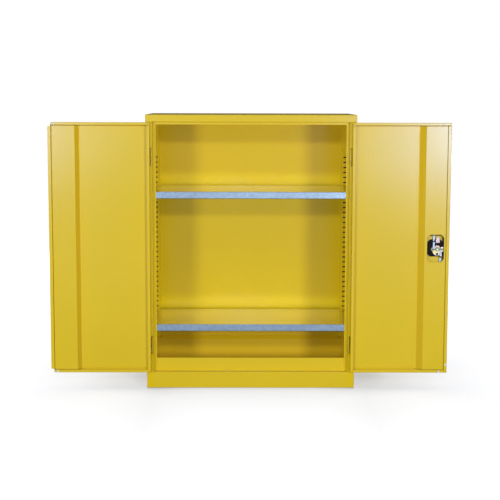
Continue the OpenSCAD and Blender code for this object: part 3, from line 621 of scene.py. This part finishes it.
# Passivation colours, and the heights that they lie between
# The cam plate's go from its lobe to its shoulders, and the tongue's from its boss to its tip
CAM_BANDS = (
    (0.0, (0.25, 0.21, 0.22)), (0.14, (0.28, 0.235, 0.165)), (0.42, (0.26, 0.225, 0.12)),
    (0.52, (0.09, 0.11, 0.05)), (0.68, (0.09, 0.11, 0.05)), (0.80, (0.28, 0.23, 0.235)),
    (1.0, (0.31, 0.26, 0.27)),
)
CAM_SPAN = LOCK_Z - 27 * MM, LOCK_Z + 18 * MM
# The near-black band across the tongue's neck is painted shade
TONGUE_BANDS = (
    (0.0, (0.07, 0.08, 0.04)), (0.12, (0.09, 0.10, 0.05)), (0.18, (0.20, 0.14, 0.14)),
    (0.27, (0.22, 0.165, 0.175)), (0.32, (0.014, 0.012, 0.009)), (0.49, (0.010, 0.009, 0.008)),
    (0.55, (0.20, 0.15, 0.175)), (0.78, (0.22, 0.175, 0.20)), (1.0, (0.19, 0.175, 0.195)),
)
TONGUE_SPAN = LOCK_Z, LOCK_Z + 56 * MM
# Part of a noise's range over which a finish turns from one tone to the other
TURN_START, TURN_END = 0.3, 0.7
TOP_TONE_START, TOP_TONE_END = 0.2, 0.8


def new_material(name):
    material = bpy.data.materials.new(name)
    material.use_nodes = True
    tree = material.node_tree
    tree.nodes.clear()
    shader = tree.nodes.new("ShaderNodeBsdfPrincipled")
    out = tree.nodes.new("ShaderNodeOutputMaterial")
    tree.links.new(shader.outputs["BSDF"], out.inputs["Surface"])
    return material, tree, shader


def placed_group(tree, group, **values):
    node = tree.nodes.new("ShaderNodeGroup")
    node.node_tree = group
    for name, value in values.items():
        node.inputs[name.replace("_", " ")].default_value = value
    return node.outputs


def blend_colour(tree, shader, mask, low, high):
    colour = colour_stops(tree, mask, ((TURN_START, low), (TURN_END, high)))
    tree.links.new(colour, shader.inputs["Base Color"])
    return colour


def blend_roughness(tree, shader, mask, low, high):
    span = tree.nodes.new("ShaderNodeMapRange")
    span.inputs["From Min"].default_value = TURN_START
    span.inputs["From Max"].default_value = TURN_END
    span.inputs["To Min"].default_value = low
    span.inputs["To Max"].default_value = high
    tree.links.new(mask, span.inputs["Value"])
    tree.links.new(span.outputs["Result"], shader.inputs["Roughness"])
    return span.outputs["Result"]


def raise_grain(tree, shader, height, strength, distance):
    bump = tree.nodes.new("ShaderNodeBump")
    bump.inputs["Strength"].default_value = strength
    bump.inputs["Distance"].default_value = distance
    tree.links.new(height, bump.inputs["Height"])
    tree.links.new(bump.outputs["Normal"], shader.inputs["Normal"])


def mix_over(tree, shader, under, mask, over, blend="MIX"):
    """Base colour with a second colour, or a tint, laid over it where the mask is 1."""
    mix = tree.nodes.new("ShaderNodeMixRGB")
    mix.blend_type = blend
    if isinstance(over, tuple):
        mix.inputs["Color2"].default_value = (*over, 1)
    else:
        tree.links.new(over, mix.inputs["Color2"])
    tree.links.new(mask, mix.inputs["Fac"])
    tree.links.new(under, mix.inputs["Color1"])
    tree.links.new(mix.outputs["Color"], shader.inputs["Base Color"])
    return mix.outputs["Color"]


def yellow_paint_material(name, coat, tones=FULL_COAT, gloss=0.36, dull_top=False, painted_shades=()):
    """Powder paint with a cool sheen, dull on a dusty top, and darker and duller with painted shade where
    a mask says so.
    """
    material, tree, shader = new_material(name)
    skin = placed_group(tree, coat)
    shader.inputs["Specular IOR Level"].default_value = gloss
    shader.inputs["Specular Tint"].default_value = COOL_SHEEN
    colour = blend_colour(tree, shader, skin["Drift"], *tones)
    rough = blend_roughness(tree, shader, skin["Peel"], *PAINT_ROUGHNESS)
    if dull_top:
        rough = any_of(tree, rough, facing_up(tree))
    for mask, (tint, dullness) in painted_shades:
        place = mask(tree)
        colour = mix_over(tree, shader, colour, place, tint, "MULTIPLY")
        rough = any_of(tree, rough, link_math(tree, "MULTIPLY", place, dullness))
    tree.links.new(rough, shader.inputs["Roughness"])
    raise_grain(tree, shader, skin["Peel"], *PEEL_GRAIN)
    return material


def galvanised_material(spangle):
    """Zinc sheet: dull blue-grey on the folded lips; the tops get a brighter, yellow-tinged tone, painted
    light and painted reflection of the yellow cabinet.
    """
    material, tree, shader = new_material("galvanised_sheet")
    skin = placed_group(tree, spangle, Crystals=160.0)
    shader.inputs["Metallic"].default_value = 1
    lip = blend_colour(tree, shader, skin["Tone"], *ZINC_LIP)
    lit_top = colour_stops(tree, skin["Tone"], ((TOP_TONE_START, ZINC_TOP[0]), (TOP_TONE_END, ZINC_TOP[1])))
    mix_over(tree, shader, lip, facing_up(tree), lit_top)
    rough = blend_roughness(tree, shader, skin["Cloud"], *SHEET_ROUGHNESS)
    dull_bend = link_math(tree, "MULTIPLY", on_bend(tree), DULL)
    tree.links.new(any_of(tree, rough, dull_bend), shader.inputs["Roughness"])
    raise_grain(tree, shader, skin["Edge"], *SPANGLE_GRAIN)
    return material


def metal_material(name, drawn, tones, roughness, cloud_scale=55.0, shade=None):
    """Drawn metal with clouds of two tones, darker with painted shade where a mask says so."""
    material, tree, shader = new_material(name)
    skin = placed_group(tree, drawn, Cloud_Scale=cloud_scale)
    shader.inputs["Metallic"].default_value = 1
    colour = blend_colour(tree, shader, skin["Cloud"], *tones)
    if shade:
        mask, tint = shade
        mix_over(tree, shader, colour, mask(tree), tint, "MULTIPLY")
    blend_roughness(tree, shader, skin["Lines"], *roughness)
    raise_grain(tree, shader, skin["Lines"], *LINE_GRAIN)
    return material


def banded_zinc_material(name, drawn, bands, span, wander):
    """Zinc plate passivated in bands of colour between two heights."""
    material, tree, shader = new_material(name)
    skin = placed_group(tree, drawn, Cloud_Scale=PASSIVATED_CLOUDS)
    shader.inputs["Metallic"].default_value = 1
    drift = link_math(tree, "MULTIPLY", link_math(tree, "SUBTRACT", skin["Cloud"], NOISE_MIDDLE), wander)
    band = rising(tree, link_math(tree, "ADD", place_of(tree)["Z"], drift), *span)
    tree.links.new(colour_stops(tree, band, bands), shader.inputs["Base Color"])
    blend_roughness(tree, shader, skin["Lines"], *PASSIVATED_ROUGHNESS)
    raise_grain(tree, shader, skin["Lines"], *LINE_GRAIN)
    return material


def moulded_material(name, moulded, tones, roughness, grain, gloss):
    """Plastic, rubber or the dark slot liner with a fine grain and a cloudy bloom."""
    material, tree, shader = new_material(name)
    skin = placed_group(tree, moulded, Grain_Scale=grain)
    shader.inputs["Specular IOR Level"].default_value = gloss
    blend_colour(tree, shader, skin["Bloom"], *tones)
    blend_roughness(tree, shader, skin["Bloom"], *roughness)
    raise_grain(tree, shader, skin["Grain"], *MOULDED_GRAIN)
    return material


def yellow_paints(coat):
    top_lip = (under_top_lip, LIP_SHADE_TINT)
    pan_foot = (above_bottom_lip, PAN_FOOT_SHADE_TINT)
    return {
        "yellow_paint": yellow_paint_material("yellow_powder_paint", coat),
        "roof_paint": yellow_paint_material("yellow_powder_paint_dull_top", coat, dull_top=True),
        "back_paint": yellow_paint_material(
            "yellow_powder_paint_on_back", coat, BACK_SHADED_COAT, gloss=0.27,
            painted_shades=((at_back_foot, BACK_FOOT_SHADE_TINT),)
        ),
        "sump_paint": yellow_paint_material(
            "yellow_powder_paint_in_sump", coat, painted_shades=((in_sump, SUMP_SHADE_TINT),)
        ),
        "frame_paint": yellow_paint_material(
            "yellow_powder_paint_on_frame", coat, gloss=0.2, painted_shades=((on_folds, FOLD_SHADE_TINT),)
        ),
        "stiffener_paint": yellow_paint_material(
            "yellow_powder_paint_on_stiffener", coat,
            painted_shades=((on_slopes, SLOPE_SHADE_TINT), top_lip, (on_free_edge, LIP_SHADE_TINT), (at_lower_end, END_SHADE_TINT))
        ),
        "hinge_paint": yellow_paint_material(
            "yellow_powder_paint_on_hinge", coat, painted_shades=((on_hinge_leaf, LEAF_SHADE_TINT),)
        ),
        "left_door_paint": yellow_paint_material(
            "yellow_powder_paint_on_left_door", coat, painted_shades=(top_lip, pan_foot)
        ),
        "right_door_paint": yellow_paint_material(
            "yellow_powder_paint_on_right_door", coat,
            painted_shades=(top_lip, pan_foot, (in_lock_pocket, POCKET_SHADE_TINT))
        ),
        "seam_shade_paint": yellow_paint_material("painted_shade_in_seam", coat, SEAM_SHADE_COAT, gloss=0.08),
    }


def metals(drawn):
    return {
        "zinc_steel": metal_material("bright_zinc", drawn, BRIGHT_ZINC, PLAIN_METAL_ROUGHNESS),
        "olive_zinc": metal_material(
            "olive_zinc", drawn, OLIVE_ZINC, PASSIVATED_ROUGHNESS, cloud_scale=PASSIVATED_CLOUDS
        ),
        "cam_zinc": banded_zinc_material("cam_passivation", drawn, CAM_BANDS, CAM_SPAN, wander=16 * MM),
        "tongue_zinc": banded_zinc_material(
            "tongue_passivation", drawn, TONGUE_BANDS, TONGUE_SPAN, wander=4 * MM
        ),
        "rod_steel": metal_material(
            "rod_steel", drawn, ROD_STEEL, ROD_ROUGHNESS, cloud_scale=40.0,
            shade=(under_window_rim, ROD_SHADOW_TINT)
        ),
        "blackened_steel": metal_material("blackened_steel", drawn, BLACKENED, PLAIN_METAL_ROUGHNESS),
    }


def mouldings(moulded):
    return {
        "black_plastic": moulded_material(
            "black_moulding", moulded, BLACK_MOULDING, PLASTIC_ROUGHNESS, grain=1500.0, gloss=0.05
        ),
        "buffer_rubber": moulded_material(
            "buffer_rubber", moulded, RUBBER, RUBBER_ROUGHNESS, grain=2200.0, gloss=0.3
        ),
        "slot_shade_liner": moulded_material(
            "painted_slot_shade", moulded, SLOT_SHADE_DARK, SLOT_SHADE_ROUGHNESS, grain=1500.0, gloss=0.1
        ),
    }


def make_materials():
    return {
        **yellow_paints(powder_coat_group()),
        "galvanised_steel": galvanised_material(spangle_group()),
        **metals(drawn_metal_group()),
        **mouldings(moulded_group()),
    }


# Finishes that differ from the plain one of the node's slot
OWN_FINISH = {
    "top_panel": "roof_paint", "back_panel": "back_paint", "sump_tray": "sump_paint",
    "left_side_panel": "frame_paint", "right_side_panel": "frame_paint",
    "left_front_upright": "frame_paint", "right_front_upright": "frame_paint",
    "left_door_stiffener": "stiffener_paint", "right_door_stiffener": "stiffener_paint",
    "left_hinge_door_knuckles": "hinge_paint", "right_hinge_door_knuckles": "hinge_paint",
    "left_hinge_frame_knuckles": "hinge_paint", "right_hinge_frame_knuckles": "hinge_paint",
    "left_door_panel": "left_door_paint", "right_door_panel": "right_door_paint",
    "cam_plate": "cam_zinc", "lock_tongue": "tongue_zinc",
    "upper_rod": "rod_steel", "lower_rod": "rod_steel",
}


def dress_nodes(materials):
    for part in frame["record"]["subparts"]:
        finish = OWN_FINISH.get(part["node"], part["material_slot"])
        for place in nodes[part["node"]].material_slots:
            place.material = materials[finish]


# Small fittings: rings of (radius, height) are in millimetres, places in metres

TO_FRONT = (0, -1, 0)
TO_REAR = (0, 1, 0)
CREASE = math.radians(35)
COARSE_TURNS = 24
ROUND_TURNS = 32
FINE_TURNS = 48


def closed_mesh(name, shape):
    """Mesh of a closed shape, with its faces pointing outwards."""
    bmesh.ops.recalc_face_normals(shape, faces=shape.faces)
    mesh = bpy.data.meshes.new(name)
    shape.to_mesh(mesh)
    shape.free()
    return mesh


def seat(piece, body):
    """Shade a piece smooth with crisp edges and let it ride on its body."""
    mesh = piece.data
    mesh.polygons.foreach_set("use_smooth", [True] * len(mesh.polygons))
    mesh.set_sharp_from_angle(angle=CREASE)
    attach(piece, body)


def turned(rings, turns=COARSE_TURNS, bored=False):
    """Turned shape from its rings; a radius or height may be a function of the angle."""
    shape = bmesh.new()
    loops = []
    for radius, height in rings:
        loop = []
        for i in range(turns):
            angle = 2 * math.pi * i / turns
            r = (radius(angle) if callable(radius) else radius) * MM
            h = (height(angle) if callable(height) else height) * MM
            loop.append(shape.verts.new((r * math.cos(angle), r * math.sin(angle), h)))
        loops.append(loop)
    for low, high in zip(loops, loops[1:] + loops[:1] if bored else loops[1:]):
        for i in range(turns):
            j = (i + 1) % turns
            shape.faces.new((low[i], low[j], high[j], high[i]))
    if not bored:
        shape.faces.new(loops[0][::-1])
        shape.faces.new(loops[-1])
    return shape


def add_drawn_piece(name, sections, bottom, top, body, material):
    """One piece of upright lengths with the given sections."""
    shape = bmesh.new()
    for section in sections:
        low, high = ([shape.verts.new((x, y, z)) for x, y in section] for z in (bottom, top))
        for i in range(len(section)):
            j = (i + 1) % len(section)
            shape.faces.new((low[i], low[j], high[j], high[i]))
        shape.faces.new(low[::-1])
        shape.faces.new(high)
    mesh = closed_mesh(name, shape)
    mesh.materials.append(material)
    seat(add_object(name, mesh), body)


def set_items_tree():
    """Geometry Nodes tree that sets one item on every place, turned to face one way."""
    tree = bpy.data.node_groups.new("set_items", "GeometryNodeTree")
    for name, kind in (
        ("Places", "Geometry"), ("Item", "Object"), ("Facing", "Vector"),
        ("Size Spread", "Float"), ("Seed", "Int"), ("Finish", "Material"),
    ):
        tree.interface.new_socket(name, in_out="INPUT", socket_type="NodeSocket" + kind)
    tree.interface.new_socket("Fittings", in_out="OUTPUT", socket_type="NodeSocketGeometry")
    given = tree.nodes.new("NodeGroupInput").outputs
    points = tree.nodes.new("GeometryNodeMeshToPoints")
    item = tree.nodes.new("GeometryNodeObjectInfo")
    facing = tree.nodes.new("FunctionNodeAlignRotationToVector")
    facing.axis = "Z"
    size = tree.nodes.new("FunctionNodeRandomValue")
    size.data_type = "FLOAT"
    smallest, largest, seed = (socket for socket in size.inputs if socket.enabled and socket.name != "ID")
    instances = tree.nodes.new("GeometryNodeInstanceOnPoints")
    realised = tree.nodes.new("GeometryNodeRealizeInstances")
    finish = tree.nodes.new("GeometryNodeSetMaterial")
    made = tree.nodes.new("NodeGroupOutput")
    tree.links.new(given["Places"], points.inputs["Mesh"])
    tree.links.new(given["Item"], item.inputs["Object"])
    tree.links.new(given["Facing"], facing.inputs["Vector"])
    tree.links.new(link_math(tree, "SUBTRACT", 1, given["Size Spread"]), smallest)
    tree.links.new(link_math(tree, "ADD", 1, given["Size Spread"]), largest)
    tree.links.new(given["Seed"], seed)
    tree.links.new(points.outputs["Points"], instances.inputs["Points"])
    tree.links.new(item.outputs["Geometry"], instances.inputs["Instance"])
    tree.links.new(facing.outputs["Rotation"], instances.inputs["Rotation"])
    tree.links.new(next(socket for socket in size.outputs if socket.enabled), instances.inputs["Scale"])
    tree.links.new(instances.outputs["Instances"], realised.inputs["Geometry"])
    tree.links.new(realised.outputs["Geometry"], finish.inputs["Geometry"])
    tree.links.new(given["Finish"], finish.inputs["Material"])
    tree.links.new(finish.outputs["Geometry"], made.inputs["Fittings"])
    return tree


fittings_tree = set_items_tree()


def set_items(name, shape, places, facing, body, material, spread=0.0, seed=0):
    """One piece of the shape, set on all the places of a body."""
    item = add_object(name + "_item", closed_mesh(name + "_item", shape))
    mesh = bpy.data.meshes.new(name)
    mesh.from_pydata(places, [], [])
    piece = add_object(name, mesh)
    worker = piece.modifiers.new("set_items", "NODES")
    worker.node_group = fittings_tree
    values = {"Item": item, "Facing": facing, "Size Spread": spread, "Seed": seed, "Finish": material}
    for socket in fittings_tree.interface.items_tree:
        if socket.name in values:
            worker[socket.identifier] = values[socket.name]
    placed = piece.evaluated_get(bpy.context.evaluated_depsgraph_get())
    piece.data = bpy.data.meshes.new_from_object(placed)
    piece.modifiers.remove(worker)
    bpy.data.objects.remove(item)
    seat(piece, body)
    return piece


# Weld marks

SPOT_WELD = ((3.4, -0.1), (3.4, 0.0), (3.0, 0.22), (2.2, 0.1), (0.8, 0.05))
WELD_PITCH = 97 * MM
WELD_ROWS = 11
FIRST_WELD = 60 * MM
WELD_SPREAD = 0.12
REAR_FOLD_INSET = 7.5 * MM
REAR_WELDS_EACH_SIDE = 4


def add_spot_welds(paint):
    """Weld marks on the stiffener feet and on the folds behind the back panel."""
    heights = [DOOR_BOTTOM + FIRST_WELD + i * WELD_PITCH for i in range(WELD_ROWS)]
    for side, x, seed in (("right", RIGHT_FOLD - FOOT_W / 2, 3), ("left", LEFT_FOLD + FOOT_W / 2, 5)):
        set_items(
            side + "_foot_welds", turned(SPOT_WELD), [(x, FOOT_FACE, z) for z in heights], TO_FRONT,
            side + "_door", paint, spread=WELD_SPREAD, seed=seed
        )
    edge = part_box("top_panel")[1]
    fold = edge.x - REAR_FOLD_INSET
    places = [(x, edge.y, z) for x in (-fold, fold) for z in heights]
    columns = range(-REAR_WELDS_EACH_SIDE, REAR_WELDS_EACH_SIDE + 1)
    places += [(i * WELD_PITCH, edge.y, edge.z - REAR_FOLD_INSET) for i in columns]
    set_items(
        "rear_fold_welds", turned(SPOT_WELD), places, TO_REAR,
        "carcass", paint, spread=WELD_SPREAD, seed=7
    )


# Door seams

TACK_BEAD = ((2.4, -0.8), (2.4, 0.0), (2.1, 0.35), (1.3, 0.7), (0.4, 0.85))
SEAM_CLEARANCE = 0.05 * MM
SEAM_W = SHADOW_GAP - 2 * SEAM_CLEARANCE
SEAM_DEPTH = 1.5 * MM
SEAM_T = 2 * MM
SEAM_ROUNDING = 0.25 * MM
SEAM_END = 2 * MM
RIGHT_TACK_Z = LOCK_Z + 6 * MM
LEFT_TACK_Z = LOCK_Z - 37 * MM


def add_seams(paint, seam_shade_paint):
    """Seam strip along each door's upright gap, its darker coat painted shade of the gap, bridged by one
    tack.
    """
    for side, gap_x, tack_z in (
        ("right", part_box("right_door_stiffener")[1].x, RIGHT_TACK_Z),
        ("left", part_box("left_door_stiffener")[0].x - SHADOW_GAP, LEFT_TACK_Z),
    ):
        left = gap_x + SEAM_CLEARANCE
        right = left + SEAM_W
        middle = (left + right) / 2
        crown = DOOR_BACK + SEAM_DEPTH
        section = [
            (left, crown + SEAM_T), (left, crown + SEAM_ROUNDING),
            (middle - SEAM_W / 4, crown), (middle + SEAM_W / 4, crown),
            (right, crown + SEAM_ROUNDING), (right, crown + SEAM_T),
        ]
        low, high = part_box(side + "_door_stiffener")
        add_drawn_piece(
            side + "_door_seam", [section], low.z + SEAM_END, high.z - SEAM_END,
            side + "_door", seam_shade_paint
        )
        set_items(
            side + "_door_tack", turned(TACK_BEAD), [(middle, DOOR_BACK, tack_z)], TO_FRONT,
            side + "_door", paint
        )


# Liners of the rear uprights

LINER_WALL = 0.8 * MM
LINER_FRONT = 5.5 * MM
LINER_REAR = 3 * MM
LINER_INNER = 10 * MM
LINER_OUTER = 2 * MM
LINER_END = 3 * MM


def add_upright_liners(slot_shade_liner):
    """Dark inner channel of the rear uprights behind the slots, a dark sheet standing in for the shade
    there.
    """
    low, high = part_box("right_rear_upright")
    front, back = low.y + LINER_FRONT, high.y - LINER_REAR
    inner, outer = low.x + LINER_INNER, high.x - LINER_OUTER
    channel = (
        (inner, back), (inner, front), (outer, front), (outer, back),
        (outer - LINER_WALL, back), (outer - LINER_WALL, front + LINER_WALL),
        (inner + LINER_WALL, front + LINER_WALL), (inner + LINER_WALL, back),
    )
    sections = [[(side * x, y) for x, y in channel] for side in (1, -1)]
    add_drawn_piece(
        "upright_liners", sections, low.z + LINER_END, high.z - LINER_END,
        "carcass", slot_shade_liner
    )


# Buffers

BUFFER_R = 4.25
STOP_BUFFER = ((BUFFER_R, 0), (BUFFER_R, 3.2), (3.9, 4.0), (2.9, 4.4), (1.0, 4.5))
EDGE_BUFFER = ((BUFFER_R, 0), (BUFFER_R, 0.9), (3.9, 1.4), (2.9, 1.7), (1.0, 1.8))
EDGE_BUFFER_INSET = 36 * MM


def add_buffers(rubber):
    """Domed buffers on the doors' lips."""
    stops = (DOOR_BOTTOM + DOOR_LIP / 2, DOOR_TOP - DOOR_LIP / 2)
    edges = (DOOR_BOTTOM + EDGE_BUFFER_INSET, DOOR_TOP - EDGE_BUFFER_INSET)
    left_low, left_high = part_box("left_door_buffers")
    right_low, right_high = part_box("right_door_buffers")
    for name, rings, x, heights, door in (
        ("left_stop_buffers", STOP_BUFFER, (left_low.x + left_high.x) / 2, stops, "left_door"),
        ("right_stop_buffers", STOP_BUFFER, right_low.x + BUFFER_R * MM, stops, "right_door"),
        ("right_edge_buffers", EDGE_BUFFER, right_high.x - BUFFER_R * MM, edges, "right_door"),
    ):
        piece = set_items(
            name, turned(rings, ROUND_TURNS), [(x, DOOR_BACK, z) for z in heights], TO_FRONT,
            door, rubber
        )
        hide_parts(door + "_buffers")


# Fittings of the lock

SCREW_R = 3.5
SCREW_HEAD = ((SCREW_R, 0), (SCREW_R, 0.7), (3.1, 1.4), (2.4, 1.75))
RECESS_RINGS = (2.1, 1.4, 0.8)
RECESS_HALF_W = 0.5
RECESS_FLOOR, SCREW_FACE = 0.6, 1.8
NUT_BORE = 3.05
NUT_HALF_FLATS = 5
NUT_ROUNDING = 5.2
CAM_WASHER = ((NUT_BORE, 0), (7, 0), (7, 0.75), (6.7, 1), (NUT_BORE, 1))
STUD_R = 3.6
ROD_STUD = ((2.5, 0), (2.5, 3.8), (STUD_R, 3.8), (STUD_R, 4.5), (3.2, 5.0), (2.2, 5.25), (0.8, 5.3))
LOBE_GROMMET = ((3.5, -0.1), (5.2, -0.1), (5.2, 0.2), (4.9, 0.3), (3.8, 0.3), (3.5, 0.2))
LOBE_DROP = 20.5 * MM


def cross_recess(radius):
    """Height of a screw's face at this radius, with a cross recess in it."""
    def height(angle):
        off_arm = min(abs(math.sin(angle)), abs(math.cos(angle))) * radius
        return RECESS_FLOOR if off_arm < RECESS_HALF_W else SCREW_FACE
    return height


def add_housing_screws(steel):
    low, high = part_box("housing_screws")
    rings = SCREW_HEAD + tuple((radius, cross_recess(radius)) for radius in RECESS_RINGS)
    heights = (low.z + SCREW_R * MM, high.z - SCREW_R * MM)
    places = [((low.x + high.x) / 2, high.y, z) for z in heights]
    screws = set_items(
        "housing_screw_heads", turned(rings, FINE_TURNS), places, TO_FRONT,
        "right_door", steel
    )
    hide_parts("housing_screws")


def flats(angle):
    """Radius of the nut's hexagon."""
    return NUT_HALF_FLATS / math.cos(angle % (math.pi / 3) - math.pi / 6)


def rounded_flats(angle):
    """Radius of the nut's hexagon with its corners turned off."""
    return min(flats(angle), NUT_ROUNDING)


HEX_NUT = (
    (NUT_BORE, 1), (rounded_flats, 1), (flats, 1.4), (flats, 4.5),
    (rounded_flats, 5), (3.5, 5), (NUT_BORE, 4.6),
)


def add_cam_nut(washer_zinc, nut_zinc):
    """Washer and nut that hold the cam plate on its spindle."""
    place = [(LOCK_X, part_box("cam_nut")[1].y, LOCK_Z)]
    for name, rings, zinc in (("cam_washer", CAM_WASHER, washer_zinc), ("cam_hex_nut", HEX_NUT, nut_zinc)):
        piece = set_items(
            name, turned(rings, FINE_TURNS, bored=True), place, TO_FRONT, "lock_turner", zinc
        )
        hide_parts("cam_nut")


def add_rod_studs(zinc):
    low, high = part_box("rod_pins")
    places = [(x, high.y, LOCK_Z) for x in (low.x + STUD_R * MM, high.x - STUD_R * MM)]
    studs = set_items(
        "rod_studs", turned(ROD_STUD, ROUND_TURNS), places, TO_FRONT, "lock_turner", zinc
    )
    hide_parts("rod_pins")


def add_lobe_grommet(plastic):
    """Black grommet round the hole in the cam plate's lobe, which widens the hole's dark as painted shade.
    """
    place = [(LOCK_X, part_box("cam_plate")[0].y, LOCK_Z - LOBE_DROP)]
    set_items(
        "lobe_grommet", turned(LOBE_GROMMET, ROUND_TURNS, bored=True), place, TO_FRONT,
        "lock_turner", plastic
    )


add_camera()
add_softboxes()
add_shelf_glints()
add_world()
add_floor()
materials = make_materials()
dress_nodes(materials)
add_spot_welds(materials["yellow_paint"])
add_seams(materials["yellow_paint"], materials["seam_shade_paint"])
add_upright_liners(materials["slot_shade_liner"])
add_buffers(materials["buffer_rubber"])
add_housing_screws(materials["blackened_steel"])
add_cam_nut(materials["olive_zinc"], materials["zinc_steel"])
add_rod_studs(materials["olive_zinc"])
add_lobe_grommet(materials["black_plastic"])
